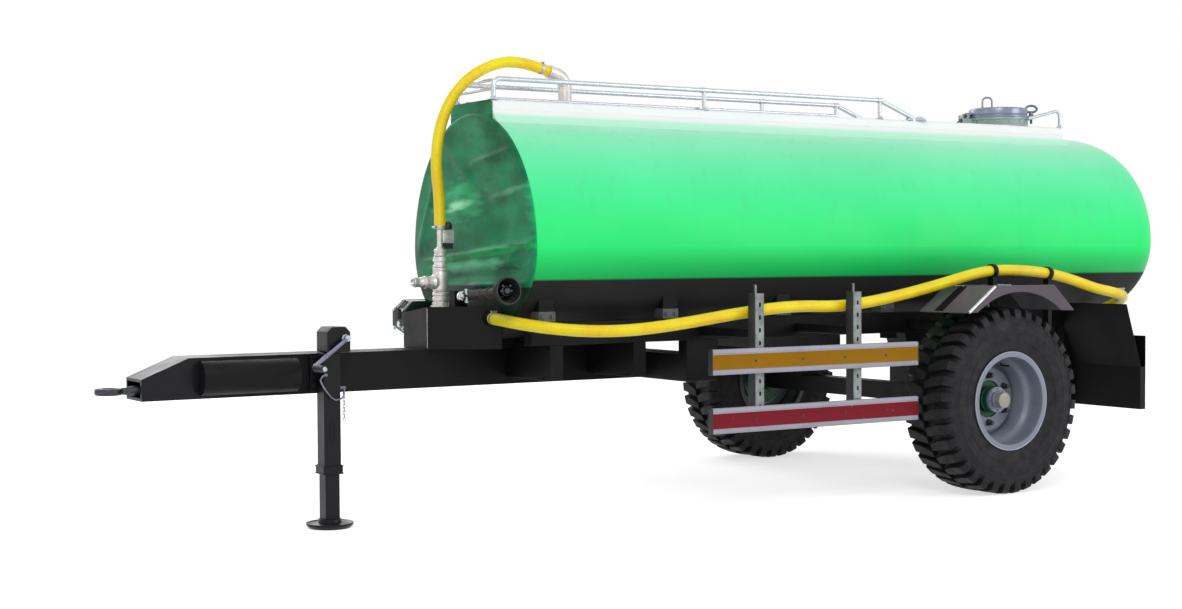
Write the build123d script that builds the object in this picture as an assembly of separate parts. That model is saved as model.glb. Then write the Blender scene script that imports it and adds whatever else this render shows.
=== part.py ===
from build123d import *
import math
import os

# Single-axle tanker trailer, millimetres.
# +X runs from the towing eye to the rear, -Y is the trailer's left-hand side, +Z is up and z = 0 is
# the ground. x = 0 is half-way along the trailer and y = 0 its middle plane.

# ---- overall -------------------------------------------------------------------------------------
EYE_AHEAD_OF_AXLE = 3640.0      # tip of the towing eye
TANK_REAR_BEHIND_AXLE = 1600.0  # rearmost point of the tank
TRACK = 1640.0
CONTACT_GAP = 0.3               # between curved faces that seat on each other
RUNNING_GAP = 0.3               # radial, spindle in hub and pin in knuckle

# ---- wheels and axle -----------------------------------------------------------------------------
TYRE_RADIUS = 400.0
TYRE_WIDTH = 260.0
TYRE_TREAD_WIDTH = 222.0
SHOULDER_DROP = 34.0            # tread down to the shoulder's corner
SHOULDER_BULGE = 13.0
SIDEWALL_DROP = 95.0            # tread down to the widest point
BEAD_HEEL = 28.0                # sidewall's inner corner, above the rim's flange
BEAD_HEEL_INSET = 8.0
RIM_WIDTH = 229.0               # between the flanges
RIM_FLANGE_RADIUS = 210.5
RIM_SEAT_RADIUS = 194.0
RIM_SEAT_TAPER = 4.0
RIM_WELL_RADIUS = 168.0
RIM_WALL = 6.0
# bends of the rim's outer profile, as shares of the half width, outboard positive
RIM_BENDS = (0.45, 0.20, -0.55, -0.75)
DISC_THICKNESS = 8.0
DISC_OUTBOARD = -24.0           # hub face, outboard of the tyre's middle plane
DISC_BORE_RADIUS = 80.5
DISC_FLAT_RADIUS = 136.0
DISC_DISH = 24.0
DISC_WELD_LAP = 2.0             # of the disc's edge, into the rim
STUD_CIRCLE = 205.0
STUD_COUNT = 6
STUD_HOLE_RADIUS = 10.5
HUB_FLANGE_RADIUS = 124.0
HUB_FLANGE_THICKNESS = 14.0
HUB_BARREL_RADIUS = 55.0
HUB_INBOARD = 96.0              # from the disc's face to the inner end of the hub
HUB_OUTBOARD = 105.0            # from the disc's face to the end of the cap
HUB_CAP_RADIUS = 33.0
HUB_CAP_LENGTH = 41.0
SPINDLE_RADIUS = 30.0
SPINDLE_TO_CAP = 45.0           # metal left in front of the blind bore
AXLE_SIDE = 80.0                # square axle beam
AXLE_SHOULDER_GAP = 6.0         # beam end to hub
PEDESTAL_LENGTH = 150.0         # at the axle, twice as long at the rails

# ---- chassis -------------------------------------------------------------------------------------
RAIL_TOP_Z = 770.0
RAIL_HEIGHT = 90.0
RAIL_OUTER_Y = 440.0
RAIL_WIDTH = 60.0
RAIL_BEHIND_TANK_FRONT = 18.0
CROSS_SIDE = 76.0               # square cross tubes under the rails
CROSS_OFFSETS = (-560.0, 520.0)  # from the axle
BEAM_WIDTH = 180.0
BEAM_BOTTOM_Z = 510.0
BEAM_HEIGHT = 152.0
BEAM_REAR_AHEAD = 1340.0        # rear end of the beam, ahead of the axle
CROSSBOX_LENGTH = 160.0
CROSSBOX_HEIGHT = 110.0
OUTRIGGER_OFFSETS = (-1990.0, -1600.0)
OUTRIGGER_LENGTH = 60.0
OUTRIGGER_RISE = 30.0           # above the beam's underside
APRON_TOP_BEHIND = 820.0        # top edge of the sloping rear sheet, behind the axle
APRON_TOP_Z = 796.0
APRON_SHEET = 5.0
APRON_TANK_GAP = 8.0
BUMPER_BEHIND = 917.0           # front face of the bumper, behind the axle
BUMPER_TOP_Z = 505.0
BUMPER_HEIGHT = 195.0
BUMPER_DEPTH = 34.0
BUMPER_WALL = 5.0
TAIL_HALF_WIDTH = 850.0
TAIL_POST_LENGTH = 60.0
LAMP_PLATE_TOP_Z = 648.0
LAMP_PLATE_LAP = 60.0           # behind the bumper's face
LAMP_PLATE_THICKNESS = 4.0
LAMP_OUTER_Y = 848.0
LAMP_INNER_Y = 600.0
LAMP_MARGIN = 28.0
LAMP_HEIGHT = 96.0
LAMP_DEPTH = 16.0
LAMP_CORNER = 12.0
NUMBER_PLATE_HALF = 260.0
NUMBER_PLATE_HEIGHT = 120.0
NUMBER_PLATE_THICKNESS = 3.0

# ---- drawbar -------------------------------------------------------------------------------------
HEAD_BEHIND_EYE = 143.0         # front face of the head, behind the eye's tip
HEAD_SLOPE_LENGTH = 177.0
HEAD_FRONT_HEIGHT = 80.0
HEAD_LENGTH = 300.0
HEAD_RECESS_DEPTH = 46.0
HEAD_RECESS_WALL = 11.0
SCALLOP_LENGTH = 29.0           # shallow oval in the head's sides, just ahead of the housings
SCALLOP_HEIGHT = 104.0
SCALLOP_DEPTH = 8.0
EYE_BORE_RADIUS = 25.0
EYE_RING_RADIUS = 50.0
EYE_THICKNESS = 26.0
EYE_Z = 545.0
EYE_SHANK_RADIUS = 24.0
EYE_NECK_RADIUS = 12.0
HOUSING_RADIUS = 65.0           # half-round housings on the beam's sides
HOUSING_BEHIND_EYE = 360.0
HOUSING_LENGTH = 375.0

# ---- parking jack --------------------------------------------------------------------------------
JACK_AHEAD_OF_AXLE = 2790.0
JACK_OUTER_SIDE = 68.0
JACK_WALL = 4.5
JACK_LEG_CLEARANCE = 0.5
JACK_BRACKET = 12.0             # plate between beam and jack
JACK_BRACKET_HALF = 60.0
JACK_BRACKET_MARGIN = 8.0
JACK_TUBE_BOTTOM_Z = 205.0
JACK_TUBE_TOP_Z = 668.0
JACK_HEAD_HEIGHT = 98.0
JACK_HEAD_WIDTH = 112.0
JACK_HEAD_LENGTH = 94.0
JACK_HEAD_BEHIND = 22.0         # middle of the head, behind the tube's
JACK_HEAD_CHAMFER = 20.0
JACK_COLLAR_HEIGHT = 34.0
JACK_COLLAR_WALL = 6.0
JACK_LEG_TOP_Z = 470.0
FOOT_RADIUS = 90.0
FOOT_HEIGHT = 34.0
FOOT_BOSS_RADIUS = 44.0
FOOT_EDGE = 12.0
FOOT_PAN_Z = 14.0
FOOT_LIP_Z = 20.0
CRANK_Z = 722.0
CRANK_BEHIND_JACK = 46.0
CRANK_ARM = 176.0
CRANK_ARM_ANGLE = 217.0         # of the arm, seen from the left-hand side
CRANK_STANDOFF = 22.0
CRANK_GRIP = 110.0
CRANK_ROD_RADIUS = 8.0
CRANK_BEND = 12.0

# ---- tank ----------------------------------------------------------------------------------------
TANK_HALF_WIDTH = 515.0
TANK_RISE = 550.0               # widest line to top
TANK_DROP = 380.0               # widest line to bottom
TANK_FRONT_AHEAD = 2090.0
FRONT_PLATE = 10.0
REAR_HEAD_DEPTH = 330.0
REAR_HEAD_DROP = 240.0          # the head closes above the flat end of the belly
SADDLE_FIRST = 86.0             # behind the tank's front
SADDLE_PITCH = 584.0
SADDLE_COUNT = 5
SADDLE_LENGTH = 72.0
SPINE_HALF_WIDTH = 170.0
SPINE_ABOVE_TANK = 45.0
SPINE_REAR_INSET = 120.0        # from the rear end of the shell
MANHOLE_INSET = 400.0           # from the rear end of the shell
MANHOLE_TURN = -32.0            # of the latch about the manhole's axis, from +X
COLLAR_RADIUS = 145.0
COLLAR_WALL = 8.0
COLLAR_ABOVE_SPINE = 43.0
COLLAR_RIM = 8.0                # outward flange
COLLAR_RIM_THICKNESS = 8.0
WELL_DEPTH = 300.0              # clear depth under the top of the tank
LID_OVERHANG = 1.0              # outside the collar
LID_EDGE = 40.0
LID_RISE = 17.0
LID_SEAT_GAP = 1.0
STRAP_BOTTOM = 4.0              # above the lid's underside
STRAP_TOP = 18.0
STRAP_LAP = 30.0                # of the hinge strap, into the lid
HINGE_OUT = 22.0                # pin, outside the rim
HINGE_RISE = 12.0               # pin, above the rim
HINGE_PIN_RADIUS = 6.0
HINGE_PIN_OVERHANG = 12.0
HINGE_EAR_Y = 44.0
HINGE_EAR_THICKNESS = 10.0
HINGE_EAR_CLEARANCE = 3.0
HINGE_EAR_FOOT = 3.0            # above the spine
EAR_LID_CLEARANCE = 8.0
KNUCKLE_RADIUS = 12.0
LATCH_OUT = 19.0                # bolt, outside the lid
LATCH_BOLT_RADIUS = 6.0
LATCH_LUG_HALF = 16.0
LATCH_NUT_RADIUS = 13.0
LATCH_NUT_HEIGHT = 22.0
LATCH_WING_HALF = 34.0
LATCH_WING_RISE = 55.0          # above the lid's underside
LATCH_BOLT_BELOW_RIM = 26.0
HANDLE_OFFSET = -54.0           # from the manhole's axis, towards the hinge
HANDLE_HALF = 23.5
HANDLE_RISE = 50.0              # above the lid's crown
HANDLE_ROD_RADIUS = 4.5
HANDLE_BEND = 20.0

# ---- railings on the spine -----------------------------------------------------------------------
RAILING_TUBE_RADIUS = 10.0
RAILING_POST_RADIUS = 9.0
RAILING_Y = 155.0
RAILING_HEIGHT = 85.0
RAILING_MID_HEIGHT = 45.0
RAILING_BEND = 28.0
RAILING_SLOPE_END = 2250.0      # behind the tank's front
NEAR_POSTS = (12.0, 1047.0, 2046.0)
FAR_POSTS = (12.0, 1600.0, 2046.0)
LOW_BAR_RADIUS = 7.0
LOW_BAR_INSET = 45.0            # from the spine's edge
LOW_BAR_SPAN = (40.0, 1810.0)   # behind the tank's front
TOP_CROSS_SETBACK = 26.0
GRAB_Y = 155.0
GRAB_RISE = 87.0                # top of the grab rails above the spine
GRAB_RADIUS = 8.0
GRAB_RIM_GAP = 6.0
GRAB_BELOW_RIM = 6.0
GRAB_REAR_INSET = 12.0
GRAB_BEND = 28.0

# ---- pump group on the drawbar -------------------------------------------------------------------
PUMP_BOX_AHEAD = 2355.0         # front face of the pump housing, ahead of the axle
PUMP_BOX_REAR_GAP = 4.0         # to the tank's front plate
PUMP_BOX_HALF_WIDTH = 107.0
PUMP_BOX_REAR_Y = 259.0         # rear corner of the left-hand side, which splays outwards
PUMP_BOX_TOP_Z = 830.0
PUMP_BOX_FAR_TOP_Z = 803.0
VALVE_BOSS_RADIUS = 40.0
VALVE_BOSS_TOP_Z = 826.0
GEAR_BEHIND_BOX_FRONT = (8.0, 178.0)
GEAR_WIDTH = 125.0
GEAR_Z = (715.0, 848.0)
GEAR_CHAMFER = 32.0
SHAFT_AHEAD = 2205.0
SHAFT_INNER_Y = -104.0
SHAFT_OUTER_Y = -500.0
SHAFT_INNER_Z = 868.0
SHAFT_OUTER_Z = 898.0
SHAFT_TUBE_RADIUS = 21.0
SHAFT_END_LENGTH = 30.0
SHAFT_END_SECTION = (46.0, 20.0)
YOKE_LENGTH = 96.0
YOKE_SPAN = 54.0
YOKE_THICKNESS = 22.0
YOKE_BOSS_RADIUS = 16.0
YOKE_BOSS_LENGTH = 40.0
YOKE_FIRST = 30.0
YOKE_SECOND = 52.0
CONE_RADIUS = 53.0
CONE_NECK_RADIUS = 27.0
CONE_LENGTH = 92.0
CONE_WALL = 4.0
CONE_FLOOR = 14.0
SUPPORT_HALF_LENGTH = 28.0
SUPPORT_INNER_Y = -62.0
SUPPORT_TOP_Z = 892.0

# ---- fill valve ----------------------------------------------------------------------------------
VALVE_AHEAD = 2242.0
UNION_RADIUS = 33.0
UNION_TOP_Z = 897.0
TEE_RADIUS = 32.0
TEE_TOP_Z = 985.0
COUPLER_RADIUS = 30.0
COUPLER_TOP_Z = 1030.0
VALVE_RING_RADIUS = 25.0
VALVE_RING_TOP_Z = 1060.0
FILL_PIPE_RADIUS = 12.0
NOZZLE_Z = 926.0
NOZZLE_REACH = 95.0             # outside the tee
NOZZLE_RADII = (24.0, 16.0)
LEVER_BLOCK_OUT = (18.0, 54.0)  # from the valve's axis, towards the tank
LEVER_BLOCK_Z = (1083.0, 1137.0)
LEVER_BLOCK_HALF = 18.0
LEVER_FOOT_OUT = 46.0
LEVER_FOOT_HALF = 14.0
LEVER_KNOB_TOP_Z = 1171.0
LEVER_KNOB_RADII = (12.0, 6.0)

# ---- hoses ---------------------------------------------------------------------------------------
FILL_HOSE_DIAMETER = 47.0
SIDE_HOSE_DIAMETER = 48.0
BEND_SHARE = 0.45               # of a bend's shorter run, taken by its arc
COUPLING_LENGTH = 62.0
COUPLING_RADIUS = 34.0
PORT_RADIUS = 30.0
PORT_LENGTH = 60.0
ELBOW_AHEAD = 1650.0
ELBOW_RADIUS = 29.0
ELBOW_BEND = 58.0
ELBOW_FLANGE_RADIUS = 48.0
ELBOW_FLANGE_THICKNESS = 10.0
CLIP_THICKNESS = 6.0
CLIP_WIDTH = 22.0
CLIP_STRAP_HALF = 16.0
GUARD_CLIP_RUN = 12             # runs of the side hose whose middles are clipped
RAIL_CLIP_RUN = 14
CLIP_ARM_Z = 700.0
CLIP_ARM_HEIGHT = 24.0

# ---- mudguards, in x from the axle ---------------------------------------------------------------
GUARD_INSIDE_WHEEL = 140.0      # inner edge, inboard of the wheel's middle plane
GUARD_OUTSIDE_WHEEL = 160.0
GUARD_SHEET = 4.0
GUARD_ABOVE_TYRE = 90.0
GUARD_SKIRT = 107.0
GUARD_X = (-282.0, -132.0, 217.0, 335.0)
ARCH_BELOW_TOP = 24.0
ARCH_HALF = 248.0
ARCH_MIDDLE = 12.0
SLOT_INSIDE_EDGE = (168.0, 216.0)   # from the outer edge
SLOT_SETBACK = 12.0
BRACKET_OFFSETS = (-130.0, 150.0)
BRACKET_SECTION = 40.0
BRACKET_Z = 700.0
BRACKET_PLATE = 10.0
BRACKET_SHELF = 60.0

# ---- left-hand side guard, in x from the axle ----------------------------------------------------
PLANK_FRONT = -1510.0
PLANK_TYRE_GAP = 45.0           # rear end of the planks to the tyre
PLANK_OUTER_Y = 850.0
PLANK_THICKNESS = 25.0
PLANK_HEIGHT = 99.0
UPPER_PLANK_Z = 565.0
LOWER_PLANK_Z = 337.0
POST_OFFSETS = (-1259.0, -757.0)
POST_FACE = 48.0
POST_DEPTH = 45.0
POST_WALL = 5.0
POST_TOP_Z = 877.0
POST_ABOVE_LOWER_PLANK = 10.0
ARM_SECTION = 36.0
ARM_Z = 700.0

# ---- rear outlet ---------------------------------------------------------------------------------
OUTLET_BEHIND_AXLE = 1010.0
OUTLET_Z = 590.0
OUTLET_REACH = 186.0            # from the drop pipe's axis to the flange's face
OUTLET_DROP_RADIUS = 44.0
OUTLET_DROP_BELOW = 30.0        # below the level pipe's axis
OUTLET_INTO_TANK = 40.0
OUTLET_COLLAR_RADIUS = 74.0
OUTLET_COLLAR_THICKNESS = 16.0
OUTLET_COLLAR_DROP = 24.0       # below the tank
OUTLET_PIPE_RADIUS = 40.0
OUTLET_BORE_RADIUS = 33.0
OUTLET_BORE_DEPTH = 90.0
OUTLET_FLANGE_RADIUS = 80.0
OUTLET_FLANGE_THICKNESS = 16.0
OUTLET_BOLT_CIRCLE = 130.0
OUTLET_BOLT_COUNT = 4
OUTLET_BOLT_RADIUS = 7.0
OUTLET_STUB_RADIUS = 27.0
OUTLET_STUB_LENGTH = 60.0

# ---- derived places ------------------------------------------------------------------------------
OVERALL_LENGTH = EYE_AHEAD_OF_AXLE + TANK_REAR_BEHIND_AXLE
AXLE_X = EYE_AHEAD_OF_AXLE - OVERALL_LENGTH / 2
AXLE_Z = TYRE_RADIUS
WHEEL_Y = TRACK / 2
EYE_TIP_X = -OVERALL_LENGTH / 2
TANK_REAR_X = OVERALL_LENGTH / 2
TANK_FRONT_X = AXLE_X - TANK_FRONT_AHEAD
SHELL_REAR_X = TANK_REAR_X - REAR_HEAD_DEPTH
RAIL_BOTTOM_Z = RAIL_TOP_Z - RAIL_HEIGHT
RAIL_INNER_Y = RAIL_OUTER_Y - RAIL_WIDTH
TANK_CENTRE_Z = RAIL_BOTTOM_Z + TANK_DROP       # the belly rests on the cross tubes
TANK_TOP_Z = TANK_CENTRE_Z + TANK_RISE
SPINE_TOP_Z = TANK_TOP_Z + SPINE_ABOVE_TANK
SPINE_REAR_X = SHELL_REAR_X - SPINE_REAR_INSET
MANHOLE_X = SHELL_REAR_X - MANHOLE_INSET
COLLAR_TOP_Z = SPINE_TOP_Z + COLLAR_ABOVE_SPINE
BEAM_TOP_Z = BEAM_BOTTOM_Z + BEAM_HEIGHT
BEAM_SIDE_Y = BEAM_WIDTH / 2
BEAM_REAR_X = AXLE_X - BEAM_REAR_AHEAD
HEAD_FRONT_X = EYE_TIP_X + HEAD_BEHIND_EYE
HEAD_REAR_X = HEAD_FRONT_X + HEAD_LENGTH
JACK_X = AXLE_X - JACK_AHEAD_OF_AXLE
JACK_Y = -(BEAM_SIDE_Y + JACK_BRACKET + JACK_OUTER_SIDE / 2)
BUMPER_X = AXLE_X + BUMPER_BEHIND
LAMP_PLATE_X = BUMPER_X + BUMPER_DEPTH
GUARD_INNER_Y = WHEEL_Y - GUARD_INSIDE_WHEEL
GUARD_OUTER_Y = WHEEL_Y + GUARD_OUTSIDE_WHEEL
GUARD_TOP_Z = 2 * TYRE_RADIUS + GUARD_ABOVE_TYRE
GUARD_EDGE_Z = GUARD_TOP_Z - GUARD_SKIRT
RAILING_TOP_Z = SPINE_TOP_Z + RAILING_HEIGHT
UPWARDS = (Align.CENTER, Align.CENTER, Align.MIN)

os.makedirs("parts", exist_ok=True)


def save(name, *solids):
    shape = solids[0] if len(solids) == 1 else Compound(children=list(solids))
    export_step(shape, f"parts/{name}.step")


def block(x0, x1, y0, y1, z0, z1):
    middle = Pos((x0 + x1) / 2, (y0 + y1) / 2, (z0 + z1) / 2)
    return middle * Box(abs(x1 - x0), abs(y1 - y0), abs(z1 - z0))


def rod(start, end, radius):
    """Round bar between two points."""
    line = Vector(end) - Vector(start)
    return Plane(origin=start, z_dir=line) * Cylinder(radius, line.length, align=UPWARDS)


def upright(x, y, z0, z1, radius):
    return rod((x, y, z0), (x, y, z1), radius)


def along_path(path, radius):
    return sweep(Plane(origin=path @ 0, z_dir=path % 0) * Circle(radius), path=path)


def bent_rod(points, radius, bends):
    """Round bar along straight runs joined by tangent arcs."""
    return along_path(FilletPolyline(*points, radius=bends), radius)


def mirrored(shape):
    return mirror(shape, about=Plane.XZ)


def xz_plate(points, y0, y1):
    """Prism from y0 to the greater y1 whose outline is given in x and z."""
    return extrude(Plane.XZ.offset(-y0) * make_face(Polyline(*points, close=True)), amount=y0 - y1)


def yz_plate(points, x0, x1):
    """Prism from x0 to x1 whose outline is given in y and z."""
    return extrude(Plane.YZ.offset(x0) * make_face(Polyline(*points, close=True)), amount=x1 - x0)


# ---- tank ----------------------------------------------------------------------------------------
def tank_face(x, gap=0.0):
    """Cross-section of the tank: half an ellipse over a flatter half, grown by a gap."""
    reach = 2 * TANK_HALF_WIDTH
    halves = []
    for height, side in ((TANK_RISE, 1), (TANK_DROP, -1)):
        half_plane = Pos(0, side * reach / 2) * Rectangle(2 * reach, reach)
        halves.append(Ellipse(TANK_HALF_WIDTH + gap, height + gap) & half_plane)
    return Plane.YZ.offset(x) * Pos(0, TANK_CENTRE_Z) * (halves[0] + halves[1])


def tank_prism(x0, x1, gap=0.0):
    return extrude(tank_face(x0, gap), amount=x1 - x0)


def rear_head():
    """Half of two joined ellipsoids."""
    reach = 2 * TANK_HALF_WIDTH
    halves = []
    for height, low, high in ((TANK_RISE, 0, reach), (REAR_HEAD_DROP, -reach, 0)):
        dome = scale(Sphere(1), by=(REAR_HEAD_DEPTH, TANK_HALF_WIDTH, height))
        halves.append(dome & block(0, reach, -reach, reach, low, high))
    return Pos(SHELL_REAR_X, 0, TANK_CENTRE_Z) * (halves[0] + halves[1])


def spine_bar(x0, x1):
    return block(x0, x1, -SPINE_HALF_WIDTH, SPINE_HALF_WIDTH, TANK_CENTRE_Z, SPINE_TOP_Z)


well_floor_z = TANK_TOP_Z - WELL_DEPTH
well_radius = COLLAR_RADIUS - COLLAR_WALL
well = upright(MANHOLE_X, 0, well_floor_z, TANK_TOP_Z + WELL_DEPTH, well_radius)
collar_room = upright(MANHOLE_X, 0, TANK_CENTRE_Z, TANK_TOP_Z + WELL_DEPTH, COLLAR_RADIUS + CONTACT_GAP)
save("tank_shell", tank_prism(TANK_FRONT_X, SHELL_REAR_X) - well)
plate_front_x = TANK_FRONT_X - FRONT_PLATE
save("tank_front_head", tank_prism(plate_front_x, TANK_FRONT_X) + spine_bar(plate_front_x, TANK_FRONT_X))
save("tank_rear_head", rear_head())
spine = spine_bar(TANK_FRONT_X, SPINE_REAR_X) - tank_prism(TANK_FRONT_X - 1, SHELL_REAR_X, CONTACT_GAP)
save("tank_spine", spine - collar_room)

saddles = []
for index in range(SADDLE_COUNT):
    x = TANK_FRONT_X + SADDLE_FIRST + index * SADDLE_PITCH
    saddle = block(x - SADDLE_LENGTH / 2, x + SADDLE_LENGTH / 2, -RAIL_OUTER_Y, -RAIL_INNER_Y,
                   RAIL_TOP_Z, TANK_CENTRE_Z)
    saddle -= tank_prism(x - SADDLE_LENGTH, x + SADDLE_LENGTH, CONTACT_GAP)
    saddles += [saddle, mirrored(saddle)]
save("tank_saddles", *saddles)

# ---- manhole: collar with a rim, domed lid hinged on one side and latched on the other ------------
# built about the z axis with the latch towards +x, then turned and moved to its place
manhole_place = Pos(MANHOLE_X, 0, 0) * Rot(0, 0, MANHOLE_TURN)
rim_radius = COLLAR_RADIUS + COLLAR_RIM
lid_radius = COLLAR_RADIUS + LID_OVERHANG
hinge_reach = rim_radius + HINGE_OUT
hinge_z = COLLAR_TOP_Z + HINGE_RISE
lid_z = COLLAR_TOP_Z + LID_SEAT_GAP
lid_top_z = lid_z + LID_EDGE

collar = upright(0, 0, TANK_CENTRE_Z, COLLAR_TOP_Z, COLLAR_RADIUS)
collar += upright(0, 0, COLLAR_TOP_Z - COLLAR_RIM_THICKNESS, COLLAR_TOP_Z, rim_radius)
for ear_y in (-HINGE_EAR_Y, HINGE_EAR_Y):
    y0, y1 = ear_y - HINGE_EAR_THICKNESS / 2, ear_y + HINGE_EAR_THICKNESS / 2
    ear_front = -hinge_reach - KNUCKLE_RADIUS
    ear_rear = -lid_radius - EAR_LID_CLEARANCE
    collar += block(ear_front, 0, y0, y1, SPINE_TOP_Z + HINGE_EAR_FOOT, COLLAR_TOP_Z)
    collar += block(ear_front, ear_rear, y0, y1, COLLAR_TOP_Z, hinge_z + KNUCKLE_RADIUS)
pin_y = HINGE_EAR_Y + HINGE_PIN_OVERHANG
collar += rod((-hinge_reach, -pin_y, hinge_z), (-hinge_reach, pin_y, hinge_z), HINGE_PIN_RADIUS)
collar = manhole_place * collar - tank_prism(TANK_FRONT_X, SHELL_REAR_X, CONTACT_GAP)
save("manhole_collar", collar - well)

crown_radius = (lid_radius ** 2 + LID_RISE ** 2) / (2 * LID_RISE)
crown = Pos(0, 0, lid_top_z + LID_RISE - crown_radius) * Sphere(crown_radius)
strap_half = HINGE_EAR_Y - HINGE_EAR_THICKNESS / 2 - HINGE_EAR_CLEARANCE
lid = upright(0, 0, lid_z, lid_top_z, lid_radius)
lid += crown & upright(0, 0, lid_top_z, lid_top_z + 2 * LID_RISE, lid_radius)
lid += block(-hinge_reach, -lid_radius + STRAP_LAP, -strap_half, strap_half,
             lid_z + STRAP_BOTTOM, lid_z + STRAP_TOP)
lid += rod((-hinge_reach, -strap_half, hinge_z), (-hinge_reach, strap_half, hinge_z), KNUCKLE_RADIUS)
handle_top_z = lid_top_z + LID_RISE + HANDLE_RISE
handle_foot_z = lid_top_z + LID_RISE / 2
handle_ends = (HANDLE_OFFSET - HANDLE_HALF, HANDLE_OFFSET + HANDLE_HALF)
lid += bent_rod([(handle_ends[0], 0, handle_foot_z), (handle_ends[0], 0, handle_top_z),
                 (handle_ends[1], 0, handle_top_z), (handle_ends[1], 0, handle_foot_z)],
                HANDLE_ROD_RADIUS, HANDLE_BEND)
lid -= rod((-hinge_reach, -HINGE_EAR_Y, hinge_z), (-hinge_reach, HINGE_EAR_Y, hinge_z),
           HINGE_PIN_RADIUS + RUNNING_GAP)
save("manhole_lid", manhole_place * lid)

latch_x = lid_radius + LATCH_OUT
wing_z = lid_z + LATCH_WING_RISE
nut_z = lid_z + STRAP_TOP
latch = block(0, latch_x + LATCH_LUG_HALF, -LATCH_LUG_HALF, LATCH_LUG_HALF, lid_z + STRAP_BOTTOM, nut_z)
latch -= upright(0, 0, lid_z, lid_top_z, lid_radius + CONTACT_GAP)
latch += upright(latch_x, 0, COLLAR_TOP_Z - LATCH_BOLT_BELOW_RIM, wing_z, LATCH_BOLT_RADIUS)
latch += upright(latch_x, 0, nut_z, nut_z + LATCH_NUT_HEIGHT, LATCH_NUT_RADIUS)
latch += rod((latch_x - LATCH_WING_HALF, 0, wing_z), (latch_x + LATCH_WING_HALF, 0, wing_z),
             LATCH_BOLT_RADIUS)
save("manhole_latch", manhole_place * latch)

# ---- railings on the spine -----------------------------------------------------------------------
def railing(side, posts):
    y = side * RAILING_Y
    places = [TANK_FRONT_X + post for post in posts]
    slope_end = (TANK_FRONT_X + RAILING_SLOPE_END, y, SPINE_TOP_Z + RAILING_TUBE_RADIUS)
    bar = bent_rod([(places[0], y, SPINE_TOP_Z), (places[0], y, RAILING_TOP_Z),
                    (places[-1], y, RAILING_TOP_Z), slope_end], RAILING_TUBE_RADIUS, RAILING_BEND)
    for x in places[1:]:
        bar += upright(x, y, SPINE_TOP_Z, RAILING_TOP_Z, RAILING_POST_RADIUS)
    return bar


save("side_railings", railing(-1, NEAR_POSTS), railing(1, FAR_POSTS))
cross_x = TANK_FRONT_X + NEAR_POSTS[0]
cross_y = RAILING_Y - RAILING_TUBE_RADIUS - CONTACT_GAP
bars = []
for x, z in ((cross_x, SPINE_TOP_Z + RAILING_MID_HEIGHT), (cross_x + TOP_CROSS_SETBACK, RAILING_TOP_Z)):
    bars.append(rod((x, -cross_y, z), (x, cross_y, z), LOW_BAR_RADIUS))
low_y = SPINE_HALF_WIDTH - LOW_BAR_INSET
low_z = SPINE_TOP_Z + LOW_BAR_RADIUS
low_bar = rod((TANK_FRONT_X + LOW_BAR_SPAN[0], -low_y, low_z),
              (TANK_FRONT_X + LOW_BAR_SPAN[1], -low_y, low_z), LOW_BAR_RADIUS)
save("railing_bars", *bars, low_bar, mirrored(low_bar))

# grab rails start beside the manhole's rim and stand on the spine's rear end
beside_rim = math.sqrt(max(rim_radius ** 2 - (GRAB_Y - GRAB_RADIUS) ** 2, 0))
grab_start = (MANHOLE_X + beside_rim + GRAB_RIM_GAP, -GRAB_Y, COLLAR_TOP_Z - GRAB_BELOW_RIM)
grab_rear_x = SPINE_REAR_X - GRAB_REAR_INSET
grab = bent_rod([grab_start, (grab_rear_x, -GRAB_Y, SPINE_TOP_Z + GRAB_RISE),
                 (grab_rear_x, -GRAB_Y, SPINE_TOP_Z)], GRAB_RADIUS, GRAB_BEND)
save("grab_rails", grab, mirrored(grab))

# ---- chassis -------------------------------------------------------------------------------------
apron_top_x = AXLE_X + APRON_TOP_BEHIND
apron = xz_plate([(apron_top_x, APRON_TOP_Z), (apron_top_x + APRON_SHEET, APRON_TOP_Z),
                  (BUMPER_X + APRON_SHEET, BUMPER_TOP_Z), (BUMPER_X, BUMPER_TOP_Z)],
                 -TAIL_HALF_WIDTH, TAIL_HALF_WIDTH)
save("rear_apron", apron - tank_prism(AXLE_X, TANK_REAR_X, APRON_TANK_GAP))

behind_apron = xz_plate([(apron_top_x, APRON_TOP_Z), (TANK_REAR_X, APRON_TOP_Z),
                         (TANK_REAR_X, BUMPER_TOP_Z), (BUMPER_X, BUMPER_TOP_Z)],
                        -TAIL_HALF_WIDTH, TAIL_HALF_WIDTH)
rail = block(TANK_FRONT_X + RAIL_BEHIND_TANK_FRONT, BUMPER_X, -RAIL_OUTER_Y, -RAIL_INNER_Y,
             RAIL_BOTTOM_Z, RAIL_TOP_Z)
tail_post = block(BUMPER_X - TAIL_POST_LENGTH, BUMPER_X, -RAIL_OUTER_Y, -RAIL_INNER_Y,
                  BUMPER_TOP_Z - BUMPER_HEIGHT, RAIL_BOTTOM_Z)
side_member = rail + tail_post - behind_apron
save("chassis_rails", side_member, mirrored(side_member))

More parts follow.
